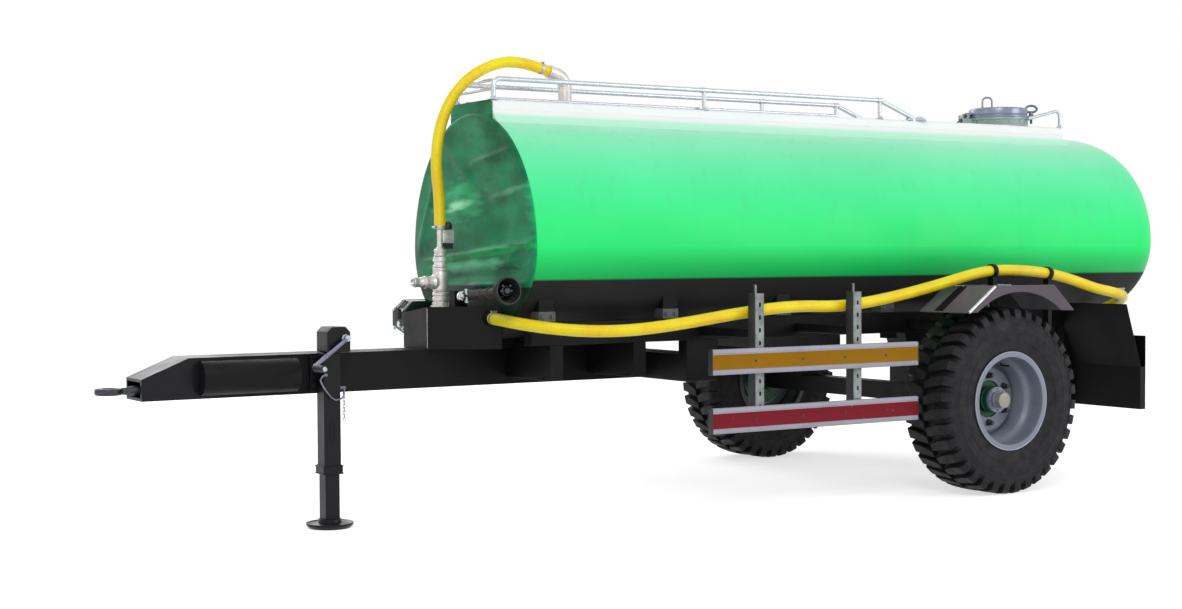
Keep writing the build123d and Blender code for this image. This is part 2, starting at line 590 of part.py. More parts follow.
bumper_bottom_z = BUMPER_TOP_Z - BUMPER_HEIGHT
bumper = block(BUMPER_X, LAMP_PLATE_X, -TAIL_HALF_WIDTH, TAIL_HALF_WIDTH, bumper_bottom_z, BUMPER_TOP_Z)
bumper -= block(BUMPER_X + BUMPER_WALL, LAMP_PLATE_X + 1, -TAIL_HALF_WIDTH + BUMPER_WALL,
                TAIL_HALF_WIDTH - BUMPER_WALL, bumper_bottom_z + BUMPER_WALL, BUMPER_TOP_Z - BUMPER_WALL)
lamp_x = LAMP_PLATE_X + LAMP_PLATE_THICKNESS
lamp_plate = block(LAMP_PLATE_X, lamp_x, -LAMP_OUTER_Y, -LAMP_INNER_Y,
                   BUMPER_TOP_Z - LAMP_PLATE_LAP, LAMP_PLATE_TOP_Z)
save("rear_bumper", bumper + lamp_plate + mirrored(lamp_plate))

lamp_top_z = LAMP_PLATE_TOP_Z - LAMP_MARGIN
lamp = block(lamp_x, lamp_x + LAMP_DEPTH, -LAMP_OUTER_Y + LAMP_MARGIN, -LAMP_INNER_Y - LAMP_MARGIN,
             lamp_top_z - LAMP_HEIGHT, lamp_top_z)
lamp = fillet(lamp.edges().filter_by(Axis.X), LAMP_CORNER)
save("tail_lamps", lamp, mirrored(lamp))
save("number_plate", block(LAMP_PLATE_X, LAMP_PLATE_X + NUMBER_PLATE_THICKNESS, -NUMBER_PLATE_HALF,
                           NUMBER_PLATE_HALF, BUMPER_TOP_Z - NUMBER_PLATE_HEIGHT, BUMPER_TOP_Z))

crosses = []
for offset in CROSS_OFFSETS:
    x = AXLE_X + offset
    crosses.append(block(x - CROSS_SIDE / 2, x + CROSS_SIDE / 2, -RAIL_OUTER_Y, RAIL_OUTER_Y,
                         RAIL_BOTTOM_Z - CROSS_SIDE, RAIL_BOTTOM_Z))
for offset in OUTRIGGER_OFFSETS:
    x = AXLE_X + offset
    outrigger = block(x, x + OUTRIGGER_LENGTH, -RAIL_OUTER_Y, -BEAM_SIDE_Y,
                      BEAM_BOTTOM_Z + OUTRIGGER_RISE, RAIL_BOTTOM_Z)
    crosses += [outrigger, mirrored(outrigger)]
crossbox_end_x = BEAM_REAR_X + CROSSBOX_LENGTH
crossbox_top_z = BEAM_BOTTOM_Z + CROSSBOX_HEIGHT
crossbox = block(BEAM_REAR_X, crossbox_end_x, -RAIL_OUTER_Y, RAIL_OUTER_Y, BEAM_BOTTOM_Z, crossbox_top_z)
riser = block(BEAM_REAR_X, crossbox_end_x, -RAIL_OUTER_Y, -RAIL_INNER_Y, crossbox_top_z, RAIL_BOTTOM_Z)
save("cross_members", *crosses, crossbox + riser + mirrored(riser))

# ---- axle and wheels -----------------------------------------------------------------------------
disc_face_y = WHEEL_Y + DISC_OUTBOARD           # where the hub's flange seats
hub_inner_y = disc_face_y - HUB_INBOARD
hub_outer_y = disc_face_y + HUB_OUTBOARD
beam_end_y = hub_inner_y - AXLE_SHOULDER_GAP
spindle_end_y = hub_outer_y - SPINDLE_TO_CAP - RUNNING_GAP
half_axle = AXLE_SIDE / 2
axle = block(AXLE_X - half_axle, AXLE_X + half_axle, -beam_end_y, beam_end_y,
             AXLE_Z - half_axle, AXLE_Z + half_axle)
axle += rod((AXLE_X, -spindle_end_y, AXLE_Z), (AXLE_X, spindle_end_y, AXLE_Z), SPINDLE_RADIUS)
save("axle_beam", axle)

pedestal = xz_plate([(AXLE_X - PEDESTAL_LENGTH / 2, AXLE_Z + half_axle),
                     (AXLE_X + PEDESTAL_LENGTH / 2, AXLE_Z + half_axle),
                     (AXLE_X + PEDESTAL_LENGTH, RAIL_BOTTOM_Z), (AXLE_X - PEDESTAL_LENGTH, RAIL_BOTTOM_Z)],
                    -RAIL_OUTER_Y, -RAIL_INNER_Y)
save("axle_pedestals", pedestal, mirrored(pedestal))


def wheel_revolve(points):
    """Solid of revolution about the wheel's axis; points are (radius, outboard offset)."""
    return revolve(make_face(Polyline(*points, close=True)), axis=Axis.Y)


def place_wheel(shape, side):
    placed = Pos(AXLE_X, WHEEL_Y, AXLE_Z) * shape
    return placed if side > 0 else mirrored(placed)


half_rim = RIM_WIDTH / 2
lip_y = half_rim + RIM_WALL
seat_end = RIM_SEAT_RADIUS - RIM_SEAT_TAPER
well_bend_radii = (seat_end, RIM_WELL_RADIUS, RIM_WELL_RADIUS, seat_end)
rim_outer = [(RIM_FLANGE_RADIUS, lip_y), (RIM_FLANGE_RADIUS, half_rim), (RIM_SEAT_RADIUS, half_rim)]
rim_outer += [(radius, share * half_rim) for radius, share in zip(well_bend_radii, RIM_BENDS)]
rim_outer += [(RIM_SEAT_RADIUS, -half_rim), (RIM_FLANGE_RADIUS, -half_rim), (RIM_FLANGE_RADIUS, -lip_y)]
rim_inner = [(RIM_SEAT_RADIUS - RIM_WALL, -lip_y)]
for radius, share in reversed(list(zip(well_bend_radii, RIM_BENDS))):
    shift = RIM_WALL / 2 if share > 0 else -RIM_WALL / 2
    rim_inner.append((radius - RIM_WALL, share * half_rim + shift))
rim_inner.append((RIM_SEAT_RADIUS - RIM_WALL, lip_y))
disc_edge = RIM_WELL_RADIUS - RIM_WALL + DISC_WELD_LAP
disc = wheel_revolve([(DISC_BORE_RADIUS, DISC_OUTBOARD), (DISC_FLAT_RADIUS, DISC_OUTBOARD),
                      (disc_edge, DISC_OUTBOARD - DISC_DISH),
                      (disc_edge, DISC_OUTBOARD - DISC_DISH + DISC_THICKNESS),
                      (DISC_FLAT_RADIUS, DISC_OUTBOARD + DISC_THICKNESS),
                      (DISC_BORE_RADIUS, DISC_OUTBOARD + DISC_THICKNESS)])
for index in range(STUD_COUNT):
    angle = math.tau * (index + 0.5) / STUD_COUNT
    x, z = STUD_CIRCLE / 2 * math.cos(angle), STUD_CIRCLE / 2 * math.sin(angle)
    disc -= rod((x, DISC_OUTBOARD - 1, z), (x, DISC_OUTBOARD + DISC_THICKNESS + 1, z), STUD_HOLE_RADIUS)
wheel_rim = wheel_revolve(rim_outer + rim_inner) + disc

half_tyre = TYRE_WIDTH / 2
half_tread = TYRE_TREAD_WIDTH / 2
bead_radius = RIM_SEAT_RADIUS + CONTACT_GAP
bead_y = half_rim - CONTACT_GAP
tyre_side = [(TYRE_RADIUS, half_tread), (TYRE_RADIUS - SHOULDER_DROP, half_tread + SHOULDER_BULGE),
             (TYRE_RADIUS - SIDEWALL_DROP, half_tyre),
             (RIM_FLANGE_RADIUS + BEAD_HEEL, half_tyre - BEAD_HEEL_INSET),
             (RIM_FLANGE_RADIUS + CONTACT_GAP, bead_y), (bead_radius, bead_y)]
tyre = wheel_revolve(tyre_side + [(radius, -y) for radius, y in reversed(tyre_side)])

bore_radius = SPINDLE_RADIUS + RUNNING_GAP
hub_in, hub_out = hub_inner_y - WHEEL_Y, hub_outer_y - WHEEL_Y
hub = wheel_revolve([
    (bore_radius, hub_in), (HUB_BARREL_RADIUS, hub_in),
    (HUB_BARREL_RADIUS, DISC_OUTBOARD - HUB_FLANGE_THICKNESS),
    (HUB_FLANGE_RADIUS, DISC_OUTBOARD - HUB_FLANGE_THICKNESS),
    (HUB_FLANGE_RADIUS, DISC_OUTBOARD), (HUB_BARREL_RADIUS, DISC_OUTBOARD),
    (HUB_BARREL_RADIUS, hub_out - HUB_CAP_LENGTH), (HUB_CAP_RADIUS, hub_out - HUB_CAP_LENGTH),
    (HUB_CAP_RADIUS, hub_out), (0, hub_out), (0, hub_out - SPINDLE_TO_CAP),
    (bore_radius, hub_out - SPINDLE_TO_CAP)])

for side, label in ((-1, "left"), (1, "right")):
    save(f"{label}_rim", place_wheel(wheel_rim, side))
    save(f"{label}_tyre", place_wheel(tyre, side))
    save(f"{label}_hub", place_wheel(hub, side))

# ---- drawbar -------------------------------------------------------------------------------------
housing_z = (BEAM_BOTTOM_Z + BEAM_TOP_Z) / 2
housing_x = EYE_TIP_X + HOUSING_BEHIND_EYE
beam = block(HEAD_REAR_X, BEAM_REAR_X, -BEAM_SIDE_Y, BEAM_SIDE_Y, BEAM_BOTTOM_Z, BEAM_TOP_Z)
for side in (-1, 1):
    y = side * BEAM_SIDE_Y
    half_round = rod((housing_x, y, housing_z), (housing_x + HOUSING_LENGTH, y, housing_z), HOUSING_RADIUS)
    beam += half_round & block(housing_x, housing_x + HOUSING_LENGTH, y, y + side * HOUSING_RADIUS,
                               BEAM_BOTTOM_Z, BEAM_TOP_Z)
save("drawbar_beam", beam)

head_front_top_z = BEAM_BOTTOM_Z + HEAD_FRONT_HEIGHT
head = xz_plate([(HEAD_FRONT_X, BEAM_BOTTOM_Z), (HEAD_REAR_X, BEAM_BOTTOM_Z), (HEAD_REAR_X, BEAM_TOP_Z),
                 (HEAD_FRONT_X + HEAD_SLOPE_LENGTH, BEAM_TOP_Z), (HEAD_FRONT_X, head_front_top_z)],
                -BEAM_SIDE_Y, BEAM_SIDE_Y)
recess_y = BEAM_SIDE_Y - HEAD_RECESS_WALL
head -= block(HEAD_FRONT_X - 1, HEAD_FRONT_X + HEAD_RECESS_DEPTH, -recess_y, recess_y,
              BEAM_BOTTOM_Z + HEAD_RECESS_WALL, head_front_top_z - HEAD_RECESS_WALL)
scallop = extrude(Ellipse(SCALLOP_LENGTH / 2, SCALLOP_HEIGHT / 2), amount=SCALLOP_DEPTH, both=True)
for y in (-BEAM_SIDE_Y, BEAM_SIDE_Y):
    head -= Pos(housing_x - SCALLOP_LENGTH / 2, y, housing_z) * Rot(90, 0, 0) * scallop
save("drawbar_head", head)

eye_x = EYE_TIP_X + EYE_RING_RADIUS
recess_end_x = HEAD_FRONT_X + HEAD_RECESS_DEPTH
shank = Cone(EYE_SHANK_RADIUS, EYE_NECK_RADIUS, recess_end_x - eye_x - EYE_BORE_RADIUS, align=UPWARDS)
eye = upright(eye_x, 0, EYE_Z - EYE_THICKNESS / 2, EYE_Z + EYE_THICKNESS / 2, EYE_RING_RADIUS)
eye += Pos(recess_end_x, 0, EYE_Z) * Rot(0, -90, 0) * shank
eye -= upright(eye_x, 0, EYE_Z - EYE_THICKNESS, EYE_Z + EYE_THICKNESS, EYE_BORE_RADIUS)
save("drawbar_eye", eye)

# ---- parking jack --------------------------------------------------------------------------------
def jack_bar(side, z0, z1):
    """Square bar on the jack's axis."""
    return block(JACK_X - side / 2, JACK_X + side / 2, JACK_Y - side / 2, JACK_Y + side / 2, z0, z1)


jack_tube = jack_bar(JACK_OUTER_SIDE, JACK_TUBE_BOTTOM_Z, JACK_TUBE_TOP_Z)
jack_tube += jack_bar(JACK_OUTER_SIDE + 2 * JACK_COLLAR_WALL, JACK_TUBE_BOTTOM_Z,
                      JACK_TUBE_BOTTOM_Z + JACK_COLLAR_HEIGHT)
jack_tube += block(JACK_X - JACK_BRACKET_HALF, JACK_X + JACK_BRACKET_HALF, -BEAM_SIDE_Y - JACK_BRACKET,
                   -BEAM_SIDE_Y, BEAM_BOTTOM_Z + JACK_BRACKET_MARGIN, BEAM_TOP_Z - JACK_BRACKET_MARGIN)
jack_bore = JACK_OUTER_SIDE - 2 * JACK_WALL
jack_tube -= jack_bar(jack_bore, JACK_TUBE_BOTTOM_Z - 1, JACK_TUBE_TOP_Z)
save("jack_tube", jack_tube)

head_x = JACK_X + JACK_HEAD_BEHIND
jack_head = block(head_x - JACK_HEAD_LENGTH / 2, head_x + JACK_HEAD_LENGTH / 2,
                  JACK_Y - JACK_HEAD_WIDTH / 2, JACK_Y + JACK_HEAD_WIDTH / 2,
                  JACK_TUBE_TOP_Z, JACK_TUBE_TOP_Z + JACK_HEAD_HEIGHT)
jack_head = chamfer(jack_head.edges().filter_by(Axis.Y).sort_by(Axis.Z)[-2:], JACK_HEAD_CHAMFER)
save("jack_head", jack_head)

crank_x = JACK_X + CRANK_BEHIND_JACK
crank_face_y = JACK_Y - JACK_HEAD_WIDTH / 2
crank_arm_y = crank_face_y - CRANK_STANDOFF
arm_angle = math.radians(CRANK_ARM_ANGLE)
crank_end_x = crank_x + CRANK_ARM * math.cos(arm_angle)
crank_end_z = CRANK_Z + CRANK_ARM * math.sin(arm_angle)
save("jack_crank", bent_rod([(crank_x, crank_face_y, CRANK_Z), (crank_x, crank_arm_y, CRANK_Z),
                             (crank_end_x, crank_arm_y, crank_end_z),
                             (crank_end_x, crank_arm_y - CRANK_GRIP, crank_end_z)],
                            CRANK_ROD_RADIUS, CRANK_BEND))

foot_profile = [(0, 0), (FOOT_RADIUS - FOOT_EDGE, 0), (FOOT_RADIUS, FOOT_EDGE), (FOOT_RADIUS, FOOT_LIP_Z),
                (FOOT_RADIUS - FOOT_EDGE, FOOT_PAN_Z), (FOOT_BOSS_RADIUS, FOOT_LIP_Z),
                (FOOT_BOSS_RADIUS, FOOT_HEIGHT), (0, FOOT_HEIGHT)]
foot = revolve(Plane.XZ * make_face(Polyline(*foot_profile, close=True)), axis=Axis.Z)
leg = jack_bar(jack_bore - 2 * JACK_LEG_CLEARANCE, FOOT_HEIGHT, JACK_LEG_TOP_Z)
save("jack_leg", leg + Pos(JACK_X, JACK_Y, 0) * foot)

# ---- hoses ---------------------------------------------------------------------------------------
def hose(name, points, diameter):
    """Tube along a route; each bend takes its share of its shorter run."""
    route = [Vector(*point) for point in points]
    bends = []
    for before, here, after in zip(route, route[1:], route[2:]):
        run_in, run_out = here - before, after - here
        half_turn = math.radians(run_in.get_angle(run_out)) / 2
        bends.append(BEND_SHARE * min(run_in.length, run_out.length) / math.tan(half_turn))
    path = FilletPolyline(*route, radius=bends)
    tube = along_path(path, diameter / 2)
    expected = math.pi * (diameter / 2) ** 2 * path.length
    print(name, "length", round(path.length), "radii", [round(b) for b in bends],
          "volume ratio", round(tube.volume / expected, 4))
    save(name, tube)
    return path


def unit_run(start, end):
    return (Vector(*end) - Vector(*start)).normalized()




def behind_axle(points):
    """Points given in x from the axle, and y and z."""
    return [(AXLE_X + x, y, z) for x, y, z in points]


fill_route = behind_axle([(-2242, 0, 1141), (-2242, 0, 1266), (-2260, 0, 1410), (-2237, 0, 1570),
                          (-2162, 0, 1710), (-2032, 0, 1806), (-1872, 0, 1842), (-1730, 0, 1800)])
side_route = behind_axle([
    (-2142, -252, 784), (-2146, -364, 777), (-2108, -482, 762), (-2030, -584, 748), (-1916, -664, 740),
    (-1770, -716, 743), (-1560, -742, 765), (-1300, -746, 799), (-1030, -745, 823), (-770, -746, 813),
    (-500, -745, 847), (-245, -746, 895), (0, -745, 949), (165, -744, 959), (352, -745, 949),
    (496, -744, 929), (620, -743, 900), (738, -741, 868), (852, -733, 851), (964, -700, 835),
    (1056, -631, 817), (1118, -533, 792), (1139, -420, 755), (1124, -309, 706), (1088, -212, 655),
    (1042, -126, 618)])
hose("fill_hose", fill_route, FILL_HOSE_DIAMETER)
side_path = hose("side_hose", side_route, SIDE_HOSE_DIAMETER)

# elbow from the fill hose down through a flange on the spine
elbow_x = AXLE_X - ELBOW_AHEAD
fill_end = Vector(*fill_route[-1])
fill_dir = unit_run(*fill_route[-2:])
elbow_corner = fill_end + fill_dir * ((elbow_x - fill_end.X) / fill_dir.X)
elbow = bent_rod([fill_end, elbow_corner, (elbow_x, 0, SPINE_TOP_Z)], ELBOW_RADIUS, ELBOW_BEND)
elbow += upright(elbow_x, 0, SPINE_TOP_Z, SPINE_TOP_Z + ELBOW_FLANGE_THICKNESS, ELBOW_FLANGE_RADIUS)
save("filler_elbow", elbow)

hose_end = Vector(*side_route[-1])
hose_end_dir = unit_run(*side_route[-2:])
coupling_end = hose_end + hose_end_dir * COUPLING_LENGTH
save("hose_coupling", rod(hose_end, coupling_end, COUPLING_RADIUS))

# ---- pump group on the drawbar -------------------------------------------------------------------
box_x0 = AXLE_X - PUMP_BOX_AHEAD
box_x1 = plate_front_x - PUMP_BOX_REAR_GAP
valve_x = AXLE_X - VALVE_AHEAD
shaft_x = AXLE_X - SHAFT_AHEAD

box_plan = make_face(Polyline((box_x0, -PUMP_BOX_HALF_WIDTH), (box_x1, -PUMP_BOX_REAR_Y),
                              (box_x1, PUMP_BOX_HALF_WIDTH), (box_x0, PUMP_BOX_HALF_WIDTH), close=True))
pump_box = extrude(Pos(0, 0, BEAM_TOP_Z) * box_plan, amount=PUMP_BOX_TOP_Z - BEAM_TOP_Z)
pump_box &= yz_plate([(-PUMP_BOX_REAR_Y - 1, BEAM_TOP_Z), (PUMP_BOX_HALF_WIDTH, BEAM_TOP_Z),
                      (PUMP_BOX_HALF_WIDTH, PUMP_BOX_FAR_TOP_Z), (-PUMP_BOX_HALF_WIDTH, PUMP_BOX_TOP_Z),
                      (-PUMP_BOX_REAR_Y - 1, PUMP_BOX_TOP_Z)], box_x0, box_x1)
pump_box += upright(valve_x, 0, PUMP_BOX_FAR_TOP_Z - VALVE_BOSS_RADIUS, VALVE_BOSS_TOP_Z, VALVE_BOSS_RADIUS)
hose_start = Vector(*side_route[0])
pump_box += rod(hose_start - unit_run(*side_route[:2]) * PORT_LENGTH, hose_start, PORT_RADIUS)

# power shaft stowed across the trailer, with its guard cone outboard, on a support on the housing
shaft_inner = Vector(shaft_x, SHAFT_INNER_Y, SHAFT_INNER_Z)
shaft_outer = Vector(shaft_x, SHAFT_OUTER_Y, SHAFT_OUTER_Z)
shaft_line = shaft_outer - shaft_inner
shaft_plane = Plane(origin=shaft_inner, z_dir=shaft_line)
support = block(shaft_x - SUPPORT_HALF_LENGTH, shaft_x + SUPPORT_HALF_LENGTH,
                SHAFT_INNER_Y - SUPPORT_HALF_LENGTH, SUPPORT_INNER_Y, PUMP_BOX_FAR_TOP_Z, SUPPORT_TOP_Z)
inboard_of_shaft = Plane(origin=shaft_inner, z_dir=-1 * shaft_line)
support &= inboard_of_shaft * Cylinder(SUPPORT_TOP_Z, SUPPORT_TOP_Z, align=UPWARDS)
save("pump_housing", pump_box + support)

tube_length = shaft_line.length - YOKE_LENGTH - SHAFT_END_LENGTH
shaft = Cylinder(YOKE_BOSS_RADIUS, YOKE_BOSS_LENGTH, align=UPWARDS)
for start, end, section in ((YOKE_FIRST, YOKE_SECOND + YOKE_THICKNESS, (YOKE_SPAN, YOKE_THICKNESS)),
                            (YOKE_SECOND, YOKE_LENGTH, (YOKE_THICKNESS, YOKE_SPAN))):
    shaft += Pos(0, 0, start) * Box(*section, end - start, align=UPWARDS)
shaft += Pos(0, 0, YOKE_LENGTH) * Cylinder(SHAFT_TUBE_RADIUS, tube_length, align=UPWARDS)
shaft += Pos(0, 0, YOKE_LENGTH + tube_length) * Box(*SHAFT_END_SECTION, SHAFT_END_LENGTH, align=UPWARDS)
save("power_shaft", shaft_plane * shaft)

cone = Cone(CONE_NECK_RADIUS, CONE_RADIUS, CONE_LENGTH, align=UPWARDS)
cone_room = Cone(CONE_NECK_RADIUS, CONE_RADIUS - CONE_WALL, CONE_LENGTH - CONE_FLOOR, align=UPWARDS)
cone -= Pos(0, 0, CONE_FLOOR) * cone_room
cone -= Cylinder(SHAFT_TUBE_RADIUS + CONTACT_GAP, 2 * CONE_LENGTH)
save("shaft_guard", shaft_plane * Pos(0, 0, shaft_line.length - CONE_LENGTH) * cone)

gear_x0, gear_x1 = box_x0 + GEAR_BEHIND_BOX_FRONT[0], box_x0 + GEAR_BEHIND_BOX_FRONT[1]
gear_far_y = PUMP_BOX_HALF_WIDTH + GEAR_WIDTH
gear = block(gear_x0, gear_x1, PUMP_BOX_HALF_WIDTH, gear_far_y, *GEAR_Z)
gear = chamfer(gear.edges().filter_by(Axis.Y), GEAR_CHAMFER)
gear &= yz_plate([(PUMP_BOX_HALF_WIDTH, GEAR_Z[0]), (gear_far_y - GEAR_CHAMFER, GEAR_Z[0]),
                  (gear_far_y, GEAR_Z[0] + GEAR_CHAMFER), (gear_far_y, GEAR_Z[1] - GEAR_CHAMFER),
                  (gear_far_y - GEAR_CHAMFER, GEAR_Z[1]), (PUMP_BOX_HALF_WIDTH, GEAR_Z[1])],
                 gear_x0, gear_x1)
save("pump_gearbox", gear)

# fill valve: union, tee with a nozzle, coupler, ring and riser pipe on one axis
valve = None
stack = ((VALVE_BOSS_TOP_Z, UNION_TOP_Z, UNION_RADIUS), (UNION_TOP_Z, TEE_TOP_Z, TEE_RADIUS),
         (TEE_TOP_Z, COUPLER_TOP_Z, COUPLER_RADIUS), (COUPLER_TOP_Z, VALVE_RING_TOP_Z, VALVE_RING_RADIUS),
         (VALVE_RING_TOP_Z, fill_route[0][2], FILL_PIPE_RADIUS))
for z0, z1, radius in stack:
    stage = upright(valve_x, 0, z0, z1, radius)
    valve = stage if valve is None else valve + stage
nozzle = Cone(*NOZZLE_RADII, TEE_RADIUS + NOZZLE_REACH, align=UPWARDS)
save("fill_valve", valve + Pos(valve_x, 0, NOZZLE_Z) * Rot(0, -90, 0) * nozzle)

lever = block(valve_x + LEVER_BLOCK_OUT[0], valve_x + LEVER_BLOCK_OUT[1],
              -LEVER_BLOCK_HALF, LEVER_BLOCK_HALF, *LEVER_BLOCK_Z)
lever += block(valve_x + FILL_PIPE_RADIUS + CONTACT_GAP, valve_x + LEVER_FOOT_OUT, -LEVER_FOOT_HALF,
               LEVER_FOOT_HALF, VALVE_RING_TOP_Z + CONTACT_GAP, LEVER_BLOCK_Z[0])
lever += Pos(valve_x + sum(LEVER_BLOCK_OUT) / 2, 0, LEVER_BLOCK_Z[1]) * Cone(
    *LEVER_KNOB_RADII, LEVER_KNOB_TOP_Z - LEVER_BLOCK_Z[1], align=UPWARDS)
save("valve_lever", lever)

# ---- mudguards -----------------------------------------------------------------------------------
front_x, top_front_x, top_rear_x, rear_x = (AXLE_X + offset for offset in GUARD_X)
guard_shape = xz_plate([(front_x, GUARD_EDGE_Z), (top_front_x, GUARD_TOP_Z), (top_rear_x, GUARD_TOP_Z),
                        (rear_x, GUARD_EDGE_Z)], -GUARD_OUTER_Y, -GUARD_INNER_Y)


def slope_inset(run):
    """Horizontal thickness of a sloping sheet and the shift of its top bend."""
    slant = math.hypot(run, GUARD_SKIRT)
    level = GUARD_SHEET * slant / GUARD_SKIRT
    return level, level - GUARD_SHEET * run / GUARD_SKIRT


front_inset, front_bend = slope_inset(top_front_x - front_x)
rear_inset, rear_bend = slope_inset(rear_x - top_rear_x)
guard_under_z = GUARD_TOP_Z - GUARD_SHEET
guard_room = xz_plate([(front_x + front_inset, GUARD_EDGE_Z), (top_front_x + front_bend, guard_under_z),
                       (top_rear_x - rear_bend, guard_under_z), (rear_x - rear_inset, GUARD_EDGE_Z)],
                      -GUARD_OUTER_Y + GUARD_SHEET, -GUARD_INNER_Y + 1)
arch_rise = GUARD_SKIRT - ARCH_BELOW_TOP
arch_radius = (ARCH_HALF ** 2 + arch_rise ** 2) / (2 * arch_rise)
arch_z = GUARD_TOP_Z - ARCH_BELOW_TOP - arch_radius
arch_x = AXLE_X + ARCH_MIDDLE
arch = rod((arch_x, -GUARD_OUTER_Y - 1, arch_z), (arch_x, -GUARD_OUTER_Y + GUARD_SHEET + 1, arch_z),
           arch_radius)
slot = block(front_x - 1, top_front_x - SLOT_SETBACK, -GUARD_OUTER_Y + SLOT_INSIDE_EDGE[0],
             -GUARD_OUTER_Y + SLOT_INSIDE_EDGE[1], GUARD_EDGE_Z - 1, GUARD_TOP_Z)
mudguard = guard_shape - guard_room - arch - slot
save("mudguards", mudguard, mirrored(mudguard))

brackets = []
shelf_z = guard_under_z - BRACKET_PLATE
for offset in BRACKET_OFFSETS:
    x0, x1 = AXLE_X + offset, AXLE_X + offset + BRACKET_SECTION
    plate_y = -GUARD_INNER_Y + BRACKET_PLATE
    bracket = block(x0, x1, plate_y, -RAIL_OUTER_Y, BRACKET_Z, BRACKET_Z + BRACKET_SECTION)
    bracket += block(x0, x1, plate_y, plate_y + BRACKET_PLATE, BRACKET_Z, shelf_z)
    bracket += block(x0, x1, -GUARD_INNER_Y - BRACKET_SHELF, plate_y + BRACKET_PLATE, shelf_z,
                     guard_under_z)
    brackets += [bracket, mirrored(bracket)]
save("mudguard_brackets", *brackets)


# ---- hose clips: rings round the side hose, one on the mudguard and one on an arm from the rail ---
def clip_ring(run):
    start, end = Vector(*side_route[run]), Vector(*side_route[run + 1])
    middle = (start + end) / 2
    half = (end - start).normalized() * (CLIP_WIDTH / 2)
    return middle, rod(middle - half, middle + half, SIDE_HOSE_DIAMETER / 2 + CLIP_THICKNESS)


hose_room = along_path(side_path, SIDE_HOSE_DIAMETER / 2 + CONTACT_GAP)
clip_at, guard_clip = clip_ring(GUARD_CLIP_RUN)
strap_outer_y = min(clip_at.Y - CLIP_STRAP_HALF, -GUARD_INNER_Y - 2 * CLIP_STRAP_HALF)
guard_clip += block(clip_at.X - CLIP_WIDTH / 2, clip_at.X + CLIP_WIDTH / 2, strap_outer_y,
                    clip_at.Y + CLIP_STRAP_HALF, GUARD_TOP_Z, clip_at.Z)
clip_at, rail_clip = clip_ring(RAIL_CLIP_RUN)
clip_x0, clip_x1 = clip_at.X - CLIP_WIDTH / 2, clip_at.X + CLIP_WIDTH / 2
rail_clip += block(clip_x0, clip_x1, clip_at.Y - CLIP_STRAP_HALF, clip_at.Y + CLIP_STRAP_HALF,
                   CLIP_ARM_Z, clip_at.Z)
rail_clip += block(clip_x0, clip_x1, clip_at.Y, -RAIL_OUTER_Y, CLIP_ARM_Z, CLIP_ARM_Z + CLIP_ARM_HEIGHT)
save("hose_clips", guard_clip - hose_room, rail_clip - hose_room)

# ---- left-hand side guard ------------------------------------------------------------------------
plank_inner_y = PLANK_OUTER_Y - PLANK_THICKNESS
for name, z in (("upper_plank", UPPER_PLANK_Z), ("lower_plank", LOWER_PLANK_Z)):
    save(name, block(AXLE_X + PLANK_FRONT, AXLE_X - TYRE_RADIUS - PLANK_TYRE_GAP,
                     -PLANK_OUTER_Y, -plank_inner_y, z, z + PLANK_HEIGHT))
posts, arms = [], []
for offset in POST_OFFSETS:
    x = AXLE_X + offset
    half_face = POST_FACE / 2
    guard_post = block(x - half_face, x + half_face, -plank_inner_y, -plank_inner_y + POST_DEPTH,
                       LOWER_PLANK_Z + POST_ABOVE_LOWER_PLANK, POST_TOP_Z)
    guard_post -= block(x - half_face + POST_WALL, x + half_face - POST_WALL, -plank_inner_y + POST_WALL,
                        -plank_inner_y + POST_DEPTH + 1, 0, POST_TOP_Z + 1)
    posts.append(guard_post)
    arms.append(block(x - ARM_SECTION / 2, x + ARM_SECTION / 2, -plank_inner_y + POST_WALL, -RAIL_OUTER_Y,
                      ARM_Z, ARM_Z + ARM_SECTION))
save("guard_posts", *posts)
save("guard_arms", *arms)

# ---- rear outlet: drop pipe from the tank, level pipe to an open flange, stub for the side hose ---
outlet_x = AXLE_X + OUTLET_BEHIND_AXLE
outlet_face_x = outlet_x + OUTLET_REACH
tank_bottom_z = TANK_CENTRE_Z - TANK_DROP
collar_z = tank_bottom_z - OUTLET_COLLAR_DROP
outlet = upright(outlet_x, 0, OUTLET_Z - OUTLET_DROP_BELOW, tank_bottom_z + OUTLET_INTO_TANK,
                 OUTLET_DROP_RADIUS)
outlet += upright(outlet_x, 0, collar_z - OUTLET_COLLAR_THICKNESS, collar_z, OUTLET_COLLAR_RADIUS)
outlet -= tank_prism(AXLE_X, SHELL_REAR_X, CONTACT_GAP)
outlet += rod(coupling_end, coupling_end + hose_end_dir * OUTLET_STUB_LENGTH, OUTLET_STUB_RADIUS)
flange_x = outlet_face_x - OUTLET_FLANGE_THICKNESS
outlet += rod((outlet_x, 0, OUTLET_Z), (outlet_face_x, 0, OUTLET_Z), OUTLET_PIPE_RADIUS)
outlet += rod((flange_x, 0, OUTLET_Z), (outlet_face_x, 0, OUTLET_Z), OUTLET_FLANGE_RADIUS)
outlet -= rod((outlet_face_x - OUTLET_BORE_DEPTH, 0, OUTLET_Z), (outlet_face_x + 1, 0, OUTLET_Z),
              OUTLET_BORE_RADIUS)
for index in range(OUTLET_BOLT_COUNT):
    angle = math.tau * (index + 0.5) / OUTLET_BOLT_COUNT
    y = OUTLET_BOLT_CIRCLE / 2 * math.cos(angle)
    z = OUTLET_Z + OUTLET_BOLT_CIRCLE / 2 * math.sin(angle)
    outlet -= rod((flange_x - 1, y, z), (outlet_face_x + 1, y, z), OUTLET_BOLT_RADIUS)
save("rear_outlet", outlet)
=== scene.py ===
from math import copysign, cos, exp, hypot, pi, radians, sin, sqrt, tau

import bmesh
import bpy
from mathutils import Matrix, Vector


